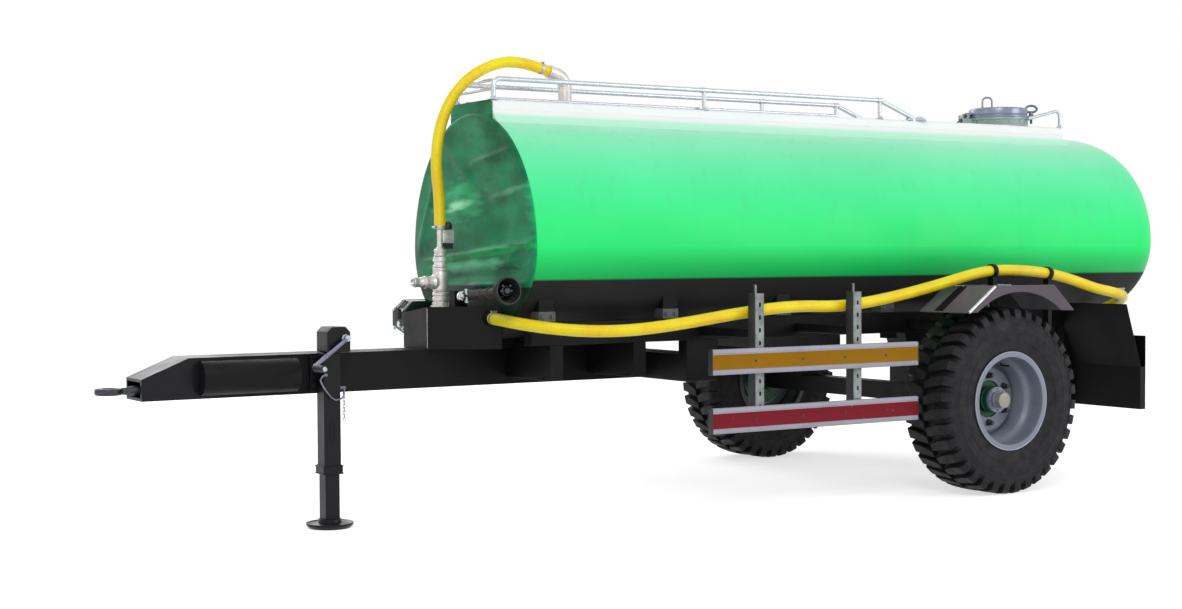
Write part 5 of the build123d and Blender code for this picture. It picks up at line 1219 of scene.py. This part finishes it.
def make_pump_trim():
    """Seam of the pump's housing, made bright as a painted highlight of its front corner, and the gearbox's
    plugs, cover bolts and strap.
    """
    seam_x, seam_y = pump_low.x + 0.0005, -0.1055
    ends = [(seam_x, seam_y, pump_low.z + 0.006), (seam_x, seam_y, PUMP_TOP - 0.006)]
    # a bright bead: the seam, and a painted highlight on the corner
    seam_highlight = Shape().tube(ends, 0.0016, 8)
    seam_highlight.finish("pump_seam_highlight", edge_metal, "grey_paint")
    bolts = Shape()
    middle = (gear_low + gear_high) / 2
    for x, z in ((gear_low.x + 0.004, middle.z + 0.034), (gear_low.x, gear_low.z + 0.04)):
        bolts.lathe([(0.0125, -0.004), (0.0125, 0.002), (0.0105, 0.0045), (0.004, 0.0055)],
                    (x, gear_low.y + 0.06, z), -X, 24)
    for y in (gear_low.y + 0.022, gear_high.y - 0.024):
        for z in (gear_low.z + 0.022, gear_high.z - 0.036):
            bolts.hexagon((gear_low.x + 0.001, y, z), -X, 0.0065, 0.006, 0.001)
    bolts.finish("gearbox_bolts", bright_steel, "galvanised", 0.0006)
    half = 0.014
    line = [(gear_low.x - 0.006, gear_low.z + 0.058), (gear_low.x - 0.006, gear_high.z - 0.03),
            (gear_low.x + 0.028, gear_high.z + 0.003), (gear_high.x - 0.045, gear_high.z + 0.003),
            (gear_high.x - 0.012, gear_high.z - 0.016)]
    section = ((-half, 0, 0), (half, 0, 0), (half, -0.002, 0.003), (-half, -0.002, 0.003))
    strap = Shape().rings([[(x + dx, middle.y + dy, z + dz) for dy, dx, dz in section] for x, z in line])
    strap.finish("gearbox_strap", pump_paint, "black_paint")


def make_valve():
    """Stack of turned parts with a side nozzle, ribs on the union and cam arms on the coupler."""
    stack = Shape()
    for profile in VALVE_PARTS.values():
        stack.lathe(profile, VALVE, Z, 48)
    for angle in turns(UNION_RIBS):
        rib = VALVE + (X * cos(angle) + Y * sin(angle)) * 0.0325 + Z * 0.8385
        stack.box((-0.0022, -0.0022, -0.005), (0.0022, 0.0022, 0.005),
                  Matrix.Translation(rib) @ Matrix.Rotation(angle, 4, "Z"))
    for side in (-1, 1):
        arm = VALVE + Y * side * 0.029
        stack.box(arm + Vector((-0.0055, -0.0025, 0.99)), arm + Vector((0.0055, 0.0025, 1.022)))
        stack.lathe([(0.0048, -0.004), (0.0048, 0.004)], (VALVE_X, side * 0.03, 1.008), Y, 16)
    stack.lathe(NOZZLE_PROFILE, NOZZLE, -X, 40)
    stack.finish("fill_valve_stack", cast_metal, "valve_metal", 0.0006, replaces="fill_valve")
    mouth = Shape()
    tip = NOZZLE - X * NOZZLE_LENGTH
    mouth.lathe([(0.0112, 0), (0.0158, 0), (0.0158, 0.005), (0.0132, 0.0058), (0.0112, 0.0045)], tip, -X, 36,
                closed=True)
    mouth.lathe([(0.0113, 0.0002), (0.0113, 0.0012)], tip, -X, 24)
    mouth.finish("nozzle_ring", bright_steel, "valve_metal")


def make_valve_lever():
    """Ribbed block on the stem, and the plastic knob on top of it."""
    lever = Shape()
    lever.box((-1.204, -0.018, 1.083), (-1.168, 0.018, 1.137))
    for index in range(LEVER_RIBS):
        z = 1.0885 + index * LEVER_RIB_PITCH
        lever.box((-1.2055, -0.0195, z), (-1.1665, 0.0195, z + 0.0042))
    lever.finish("lever_block", cast_metal, "valve_metal", 0.0016)
    knob = Shape()
    knob.lathe([(0.0125, 1.1365), (0.015, 1.14), (0.0165, 1.148), (0.0155, 1.158), (0.012, 1.166),
                (0.006, 1.1705)], (-1.186, 0, 0), Z, 28)
    knob.box((-1.212, -0.019, 1.0605), (-1.172, 0.019, 1.083))
    knob.finish("valve_knob", black_plastic, "black_plastic", 0.0015, replaces="valve_lever")


dress("pump_housing", pump_paint, 0.004, 3)
dress("pump_gearbox", gear_paint, 0.005, 3)
make_pump_trim()
make_valve()
make_valve_lever()

# ---- power shaft ---------------------------------------------------------------------------------
SHAFT_START, SHAFT_END = Vector((-1.185, -0.104, 0.868)), Vector((-1.185, -0.5, 0.898))
ALONG = (SHAFT_END - SHAFT_START).normalized()
ACROSS = ALONG.cross(X).normalized()
SHAFT_LENGTH = (SHAFT_END - SHAFT_START).length
YOKE_EAR = [(-0.013, 0.03), (0.013, 0.03), (0.014, 0.052), (0.009, 0.066), (0, 0.07), (-0.009, 0.066),
            (-0.014, 0.052)]
EAR_THICKNESS = 0.0055
EAR_REACH = 0.0195
CROSS_AT = 0.056               # the joint's cross, along the shaft
CROSS_CAP = [(0.0085, 0), (0.0085, 0.0035), (0.006, 0.005)]
CONE_RIBS = 5


def on_shaft(distance, sideways=0.0, up=0.0):
    return SHAFT_START + ALONG * distance + X * sideways + ACROSS * up


def make_near_yoke():
    """Flange, two pairs of ears and the cross between them."""
    yoke = Shape()
    yoke.lathe([(0.0205, 0.0), (0.0225, 0.003), (0.0225, 0.012), (0.0195, 0.014), (0.0195, 0.024),
                (0.0225, 0.026), (0.0225, 0.034), (0.018, 0.037)], SHAFT_START, ALONG, 36)
    for side in (-1, 1):
        yoke.plate(YOKE_EAR, placed(on_shaft(0, side * EAR_REACH), ACROSS, ALONG, X), EAR_THICKNESS * side)
        yoke.plate(YOKE_EAR, placed(on_shaft(0.111, 0, side * EAR_REACH), X, -ALONG, ACROSS),
                   EAR_THICKNESS * side)
        yoke.lathe(CROSS_CAP, on_shaft(CROSS_AT, side * 0.024), X * side, 20)
        yoke.lathe(CROSS_CAP, on_shaft(CROSS_AT, 0, side * 0.024), ACROSS * side, 20)
    for axis in (X, ACROSS):
        yoke.lathe([(0.0075, -0.024), (0.0075, 0.024)], on_shaft(CROSS_AT), axis, 20)
    yoke.finish("shaft_yokes", bright_steel, "shaft_steel", 0.0007, replaces="power_shaft")


def make_far_yoke():
    """Stepped end of the inner shaft, its collar, pins and screws."""
    yoke = Shape()
    end = SHAFT_LENGTH - 0.02
    yoke.lathe([(0.016, -0.06), (0.016, -0.018), (0.0125, -0.008), (0.0125, 0.004), (0.0095, 0.008)],
               on_shaft(end), ALONG, 28)
    yoke.lathe([(0.0165, -0.01), (0.02, -0.008), (0.02, -0.002), (0.0165, 0.0)], on_shaft(end), ALONG, 28,
               closed=True)
    for side in (-1, 1):
        yoke.lathe([(0.0062, 0.01), (0.0062, 0.026), (0.004, 0.028)], on_shaft(end - 0.004), X * side, 18)
        screw = on_shaft(end - 0.002, side * 0.016, 0.02)
        yoke.lathe([(0.005, 0.0), (0.005, 0.006), (0.003, 0.0075)], screw, ALONG, 14)
    yoke.finish("shaft_far_yoke", dark_steel, "shaft_steel", 0.0006)


def make_shaft_guard():
    """Plastic sleeve, and rings on it and on the guard cone."""
    sleeve = Shape()
    sleeve.lathe([(0.0165, 0.094), (0.0205, 0.098), (0.0205, 0.15), (0.019, 0.153),
                  (0.019, SHAFT_LENGTH - 0.085)], SHAFT_START, ALONG, 36)
    sleeve.finish("shaft_sleeve", black_plastic, "black_plastic")
    ribs = Shape()
    for share in (index / (CONE_RIBS - 1) for index in range(CONE_RIBS)):
        inner, outer = 0.0245 + 0.0245 * share, 0.0287 + 0.0245 * share
        ribs.lathe([(inner, -0.0024), (outer, -0.0012), (outer, 0.0012), (inner, 0.0024)],
                   on_shaft(SHAFT_LENGTH - 0.088 + 0.072 * share), ALONG, 40, closed=True)
    for distance in (0.185, 0.245):
        ribs.lathe([(0.02, -0.006), (0.0228, -0.004), (0.0228, 0.004), (0.02, 0.006)], on_shaft(distance),
                   ALONG, 36, closed=True)
    ribs.finish("shaft_guard_ribs", black_plastic, "black_plastic")


make_near_yoke()
make_far_yoke()
make_shaft_guard()
dress("shaft_guard", black_plastic)

# ---- mudguards -----------------------------------------------------------------------------------
guard_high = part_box("mudguards")[1]
# X and Z along the guard's top
GUARD_LINE = ((0.738, 0.783), (0.888, 0.89), (1.237, 0.89), (1.355, 0.783))
GUARD_INNER_Y = 0.6835
SLOT_SHADE_INNER_Y, SLOT_SHADE_OUTER_Y = 0.764, 0.812
SLOT_SHADE_THICKNESS = 0.0015
BRACKET_BOLT_XS, BRACKET_BOLT_YS = (0.9, 0.92, 1.18, 1.2), (0.708, 0.752)


def make_mudguard_trim(label, side):
    """Folded hem, a dark strip of painted shade where the front slope's slot is, a bright lip on the front
    slope, and the bolts on top.
    """
    outer, inner = ([(x, side * y, z + 0.0005) for x, z in GUARD_LINE]
                    for y in (guard_high.y - 0.0045, GUARD_INNER_Y))
    hem = Shape().tube(outer[1:], 0.0036, 10)
    for end in (0, -1):
        hem.tube([outer[end], inner[end]], 0.0034, 10)
    hem.tube(inner, 0.0028, 8)
    hem.finish(label + "_mudguard_hem", mudguard_paint, "grey_paint")
    # the dark strip stands in for the shade inside the slot
    foot, top = (Vector((x, 0, z)) for x, z in GUARD_LINE[:2])
    lift = (top - foot).cross(Y).normalized() * SLOT_SHADE_THICKNESS
    section = ((SLOT_SHADE_OUTER_Y, 0), (SLOT_SHADE_INNER_Y, 0), (SLOT_SHADE_INNER_Y, 1), (SLOT_SHADE_OUTER_Y, 1))
    slot_shade = Shape().rings([[point + Y * side * y + lift * level for y, level in section]
                            for point in (foot, top)])
    slot_shade.finish(label + "_mudguard_slot_shade", slot_shade_paint, "black_paint")
    Shape().tube(outer[:2], 0.0062, 12).finish(label + "_mudguard_lip", edge_metal, "grey_paint")
    bolts = Shape()
    for x in BRACKET_BOLT_XS:
        for y in BRACKET_BOLT_YS:
            bolts.lathe([(0.0085, -0.001), (0.008, 0.0015), (0.005, 0.0035), (0.002, 0.004)],
                        (x, side * y, guard_high.z), Z, 18)
    bolts.finish(label + "_mudguard_bolts", galvanised, "galvanised")


dress("mudguards", mudguard_paint, 0.0012)
dress("mudguard_brackets", black_paint, 0.002)
for label, side in SIDES:
    make_mudguard_trim(label, side)

# ---- side guard ----------------------------------------------------------------------------------
posts_low, posts_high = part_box("guard_posts")
upper_low, upper_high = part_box("upper_plank")
lower_low, lower_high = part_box("lower_plank")
POST_HALF = 0.024
POST_WALL = 0.004
POST_XS = (posts_low.x + POST_HALF, posts_high.x - POST_HALF)
FACE_Y, BACK_Y = posts_low.y, posts_high.y
SLOT_STEP = 0.05
SLOT_LENGTH, SLOT_WIDTH = 0.019, 0.0095
FIRST_SLOT = 0.045             # below the post's top
NUT_INSET = 0.03               # from a plank's edge
RIVET_SHARES = (0.2, 0.42, 0.625, 0.83)


def make_post(x, label):
    """Slotted channel: a face with small upright slots between two flanges."""
    half, inner, face = POST_HALF, POST_HALF - POST_WALL, FACE_Y + POST_WALL
    corner = [(half - 0.006, FACE_Y), (half - 0.0022, FACE_Y + 0.002), (half, FACE_Y + 0.006)]
    outline = [(-half, BACK_Y)] + [(-u, v) for u, v in reversed(corner)] + corner
    outline += [(half, BACK_Y), (inner, BACK_Y), (inner, face), (-inner, face), (-inner, BACK_Y)]
    post = Shape().rings([[(x + u, v, z) for u, v in outline] for z in (posts_low.z, posts_high.z)])
    piece = post.finish(label, post_steel, "galvanised")
    slots = Shape()
    for index in range(int((posts_high.z - posts_low.z - 0.03) / SLOT_STEP)):
        place = (x, FACE_Y - 0.002, posts_high.z - FIRST_SLOT - index * SLOT_STEP)
        slots.plate(stadium(SLOT_LENGTH, SLOT_WIDTH, 6), placed(place, Z, X, Y), 0.01)
    cutter = slots.raw(label + "_cutter")
    cut = piece.modifiers.new("slots", "BOOLEAN")
    cut.object = cutter
    cut.solver = "EXACT"
    slotted = evaluated_mesh(piece)
    piece.modifiers.clear()
    piece.data = slotted
    slotted.name = label
    bpy.data.objects.remove(cutter)
    smoothed(slotted)
    return piece


def make_post_caps():
    """Lids and eye screws on the posts' tops, and the nuts behind the planks."""
    caps = Shape()
    top = posts_high.z
    for x in POST_XS:
        caps.box((x - POST_HALF + 0.003, FACE_Y + 0.004, top - 0.006),
                 (x + POST_HALF - 0.003, FACE_Y + 0.044, top - 0.002))
        caps.lathe([(0.0105, -0.001), (0.0105, 0.0025), (0.0075, 0.0028), (0.0075, 0.0004)],
                   (x, FACE_Y + 0.0235, top - 0.003), Z, 24)
        for z in (upper_high.z - NUT_INSET, upper_low.z + NUT_INSET, lower_high.z - NUT_INSET,
                  lower_low.z + NUT_INSET):
            caps.hexagon((x, BACK_Y - 0.041, z), Y, 0.0085, 0.01, 0.002)
        screw = (x - 0.006, FACE_Y + 0.0235, top)
        caps.lathe([(0.007, -0.004), (0.007, 0.032), (0.0055, 0.034)], screw, Z, 16)
    caps.finish("guard_post_caps", post_steel, "galvanised", 0.0005)


def make_plank_piece(name, low, high, material, slot):
    """Extruded hollow plank: a flat band between two beads, rounded long edges, caps and rivets."""
    middle, half, depth = (low.z + high.z) / 2, (high.z - low.z) / 2, high.y - low.y
    bead = [(0.006, -half), (0.002, -half + 0.0012), (0.0, -half + 0.005), (0.0, -half + 0.015),
            (0.0016, -half + 0.0165), (0.0016, -half + 0.0185), (0.0, -half + 0.02)]
    outline = bead + [(0.0012, -0.008), (0.0012, 0.008)] + [(u, -v) for u, v in reversed(bead)]
    outline += [(depth - 0.003, half), (depth, half - 0.003), (depth, -half + 0.003), (depth - 0.003, -half)]
    ends = (low.x + 0.0035, high.x - 0.0035)
    plank = Shape().rings([[(x, low.y + u, middle + v) for u, v in outline] for x in ends])
    plank.finish(name + "_face", material, slot, angle=28, replaces=name)
    trim = Shape()
    proud = Vector((0, 0.0006, 0.0006))
    for x0, x1 in ((low.x, low.x + 0.005), (high.x - 0.005, high.x)):
        trim.box(Vector((x0, low.y, low.z)) - proud, Vector((x1, high.y, high.z)) + proud)
    trim.finish(name + "_end_caps", black_plastic, "black_plastic", 0.0015)
    rivets = Shape()
    for share in RIVET_SHARES:
        rivets.lathe([(0.0052, -0.001), (0.0048, 0.001), (0.003, 0.0022), (0.001, 0.0025)],
                     (low.x + (high.x - low.x) * share, low.y + 0.0008, middle), -Y, 16)
    rivets.finish(name + "_rivets", dark_steel, "galvanised")


front_post = make_post(POST_XS[0], "front_guard_post")
make_post(POST_XS[1], "rear_guard_post")
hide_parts("guard_posts")
make_post_caps()
dress("guard_arms", black_paint, 0.003)
make_plank_piece("upper_plank", upper_low, upper_high, amber_plank, "amber_plank")
make_plank_piece("lower_plank", lower_low, lower_high, red_plank, "red_plank")

# ---- chassis, axle and tail ----------------------------------------------------------------------
for name, material, width in (("chassis_rails", black_paint, 0.004), ("cross_members", black_paint, 0.003),
                              ("axle_beam", black_paint, 0.004), ("axle_pedestals", black_paint, 0.003),
                              ("rear_apron", black_paint, 0.0015), ("rear_bumper", black_paint, 0.003),
                              ("rear_outlet", cast_metal, 0.001), ("number_plate", plate_paint, 0.001)):
    dress(name, material, width, 3)
RAIL_YS = (0.38, 0.44)       # inner and outer face of a rail
SADDLE_XS = (-0.984, -0.4, 0.184, 0.768, 1.352)
BLOCK_OVERHANG = 0.0025
TAIL_POST_X = 1.907
CHEEK_REAR_X = -0.6


def make_chassis_welds():
    """Seams of the cross tubes, the saddles and the pedestals at the rails."""
    welds = Shape()
    for side in (-1, 1):
        for x in (-0.97, -0.58):
            # tube ends against the rails
            for z in (0.545, 0.675):
                welds.tube([(x - 0.028, side * 0.3785, z), (x + 0.028, side * 0.3785, z)], 0.0035, 8)
        for x in SADDLE_XS:
            for y in (RAIL_YS[0] - 0.001, RAIL_YS[1] + 0.001):
                welds.tube([(x - 0.034, side * y, 0.7705), (x + 0.034, side * y, 0.7705)], 0.0035, 8)
        for x in (AXLE_X - 0.075, AXLE_X + 0.075):
            welds.tube([(x, side * 0.375, 0.441), (x, side * 0.445, 0.441)], 0.004, 8)
    welds.finish("chassis_welds", black_paint, "black_paint")


def make_saddle_blocks():
    """Blocks between the rails and the tank's saddles, each with two bolts on its outer face."""
    blocks = Shape()
    for side in (-1, 1):
        for x in SADDLE_XS:
            inner, outer = side * (RAIL_YS[0] - BLOCK_OVERHANG), side * (RAIL_YS[1] + BLOCK_OVERHANG)
            y0, y1 = sorted((inner, outer))
            blocks.box((x - 0.0375, y0, 0.7715), (x + 0.0375, y1, 0.812))
            for bolt_x in (x - 0.022, x + 0.022):
                blocks.hexagon((bolt_x, outer, 0.7915), Y * side, 0.0085, 0.009, 0.002)
    blocks.finish("saddle_blocks", saddle_paint, "saddle_paint", 0.002)


def make_tail_bolts():
    """Bolts of the bumper's plates and of the tail posts, and the number plate's rivets."""
    bumper_x, plate_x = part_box("rear_bumper")[1].x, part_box("number_plate")[1].x
    bolts = Shape()
    for side in (-1, 1):
        for y, z in ((0.4, 0.345), (0.4, 0.47), (0.545, 0.345), (0.8, 0.345), (0.8, 0.47)):
            bolts.hexagon((bumper_x - 0.0005, side * y, z), X, 0.01, 0.009, 0.002)
        for z in (0.34, 0.65):
            bolts.hexagon((TAIL_POST_X, side * 0.4405, z), Y * side, 0.0095, 0.008, 0.002)
    for y in (-0.235, 0.235):
        for z in (0.4, 0.49):
            bolts.lathe([(0.0055, -0.001), (0.005, 0.0012), (0.0025, 0.0024)], (plate_x, y, z), X, 16)
    bolts.finish("tail_bolts", galvanised, "galvanised", 0.0006)


def make_bearer_cheeks():
    """Cheeks that carry the tank's front end on the drawbar."""
    cheeks = Shape()
    for side in (-1, 1):
        y0, y1 = sorted((side * 0.147, side * 0.154))
        cheeks.box((plate_high.x - 0.012, y0, beam_high.z - 0.002), (CHEEK_REAR_X, y1, 0.696))
    cheeks.finish("tank_bearer_cheeks", black_paint, "black_paint", 0.001)


# ---- tail lamps ----------------------------------------------------------------------------------
LAMP_Y, LAMP_Z = 0.724, 0.572
LAMP_HALVES = (0.096, 0.048)
LAMP_LENSES = ((0.633, 0.686), (0.69, 0.754), (0.758, 0.815))     # inner and outer edges
LENS_HALF_HEIGHT = 0.0435


def make_lamp(label, side):
    """Housing, three domed lenses and the screws of the plate behind them."""
    body = Shape()
    for inset, x0, x1 in ((0.0, 1.9755, 1.982), (0.0035, 1.982, 1.9835)):
        outline = rounded(side * LAMP_Y, LAMP_Z, LAMP_HALVES[0] - inset, LAMP_HALVES[1] - inset, 0.01, 5)
        body.rings([[(x, y, z) for y, z in outline] for x in (x0, x1)])
    body.finish(label + "_lamp_body", black_plastic, "black_plastic", 0.001)
    glass = Shape()
    for y0, y1 in LAMP_LENSES:
        rings = []
        for x, inset in ((1.983, 0.0), (1.9875, 0.0006), (1.9898, 0.003), (1.9906, 0.008)):
            outline = rounded(side * (y0 + y1) / 2, LAMP_Z, (y1 - y0) / 2 - inset, LENS_HALF_HEIGHT - inset,
                              0.007, 4)
            rings.append([(x, y, z) for y, z in outline])
        glass.rings(rings)
    glass.finish(label + "_lamp_lens", lens, "lamp_red", angle=50,
                 replaces="tail_lamps" if side < 0 else None)
    screws = Shape()
    for y, z in ((0.612, 0.47), (0.612, 0.635), (0.838, 0.47), (0.838, 0.6)):
        screws.hexagon((1.9745, side * y, z), X, 0.0055, 0.005, 0.0015)
    screws.finish(label + "_lamp_screws", galvanised, "galvanised")


make_chassis_welds()
make_saddle_blocks()
make_tail_bolts()
for label, side in SIDES:
    make_lamp(label, side)
make_bearer_cheeks()

# ---- light, backdrop and floor -------------------------------------------------------------------
WHITE = (1.0, 1.0, 1.0, 1.0)
HORIZON = (0.3, 0.3, 0.31, 1)
SKY = (0.95, 0.96, 0.97, 1)
SKY_FROM = 0.8                 # height on the dome above which the sky is even
WORLD_STRENGTH = 0.62
FLOOR_HALF = 60.0
FLOOR_GREY = (0.82, 0.82, 0.82, 1)
FLOOR_GLOW = 0.62              # lifts the lit floor to the backdrop's white for the camera
LIGHTS = {  # place, what it is turned to, diameter and watts
    "key": ((-5.0, -7.5, 6.5), (0, 0, 0.9), 4.5, 320),
    "fill": ((5.5, -7.0, 3.0), (0.8, 0, 0.8), 4.0, 170),
    "back": ((0.0, 7.0, 5.0), (0, 0, 1.0), 5.0, 190),
    "front": ((-9.0, 0.5, 3.0), (-1.5, 0, 1.0), 3.0, 28)}


def seen_directly(tree):
    """1 for what the camera sees, also through gloss and glass."""
    path = tree.nodes.new("ShaderNodeLightPath")
    total = path.outputs["Is Camera Ray"]
    for name in ("Is Glossy Ray", "Is Transmission Ray"):
        add = tree.nodes.new("ShaderNodeMath")
        add.operation = "MAXIMUM"
        tree.links.new(total, add.inputs[0])
        tree.links.new(path.outputs[name], add.inputs[1])
        total = add.outputs[0]
    return total


def add_light(name, place, target, size, watts):
    light = bpy.data.lights.new(name, "AREA")
    light.shape = "DISK"
    light.size = size
    light.energy = watts
    lamp = linked(name, light)
    lamp.location = place
    lamp.rotation_mode = "QUATERNION"
    lamp.rotation_quaternion = (Vector(target) - Vector(place)).to_track_quat("-Z", "Y")


def make_world():
    """Grey-to-white dome for the light, plain white for the camera."""
    world = bpy.data.worlds.new("studio")
    bpy.context.scene.world = world
    world.use_nodes = True
    tree = world.node_tree
    tree.nodes.clear()
    output, mix, lit, seen, coordinates, split, ramp = (
        tree.nodes.new("ShaderNode" + kind) for kind in
        ("OutputWorld", "MixShader", "Background", "Background", "TexCoord", "SeparateXYZ", "ValToRGB"))
    for stop, place, colour in zip(ramp.color_ramp.elements, (0.0, SKY_FROM), (HORIZON, SKY)):
        stop.position = place
        stop.color = colour
    lit.inputs["Strength"].default_value = WORLD_STRENGTH
    seen.inputs["Color"].default_value = WHITE
    for source, target in ((coordinates.outputs["Generated"], split.inputs[0]),
                           (split.outputs["Z"], ramp.inputs[0]), (ramp.outputs[0], lit.inputs["Color"]),
                           (seen_directly(tree), mix.inputs[0]), (lit.outputs[0], mix.inputs[1]),
                           (seen.outputs[0], mix.inputs[2]), (mix.outputs[0], output.inputs[0])):
        tree.links.new(source, target)


def make_floor():
    """Pale floor that keeps the shadow and meets the white backdrop with no line."""
    mesh = bpy.data.meshes.new("floor")
    corners = [(x * FLOOR_HALF, y * FLOOR_HALF, 0) for x, y in ((-1, -1), (1, -1), (1, 1), (-1, 1))]
    mesh.from_pydata(corners, [], [(0, 1, 2, 3)])
    linked("floor", mesh)
    material = bpy.data.materials.new("floor")
    material.use_nodes = True
    tree = material.node_tree
    shader = tree.nodes["Principled BSDF"]
    shader.inputs["Base Color"].default_value = FLOOR_GREY
    shader.inputs["Roughness"].default_value = 0.9
    shader.inputs["Specular IOR Level"].default_value = 0.1
    shader.inputs["Emission Color"].default_value = WHITE
    glow = tree.nodes.new("ShaderNodeMath")
    glow.operation = "MULTIPLY"
    glow.inputs[1].default_value = FLOOR_GLOW
    tree.links.new(seen_directly(tree), glow.inputs[0])
    tree.links.new(glow.outputs[0], shader.inputs["Emission Strength"])
    mesh.materials.append(material)


make_world()
make_floor()
for name, settings in LIGHTS.items():
    add_light(name, *settings)
bpy.context.scene.view_settings.view_transform = "Standard"
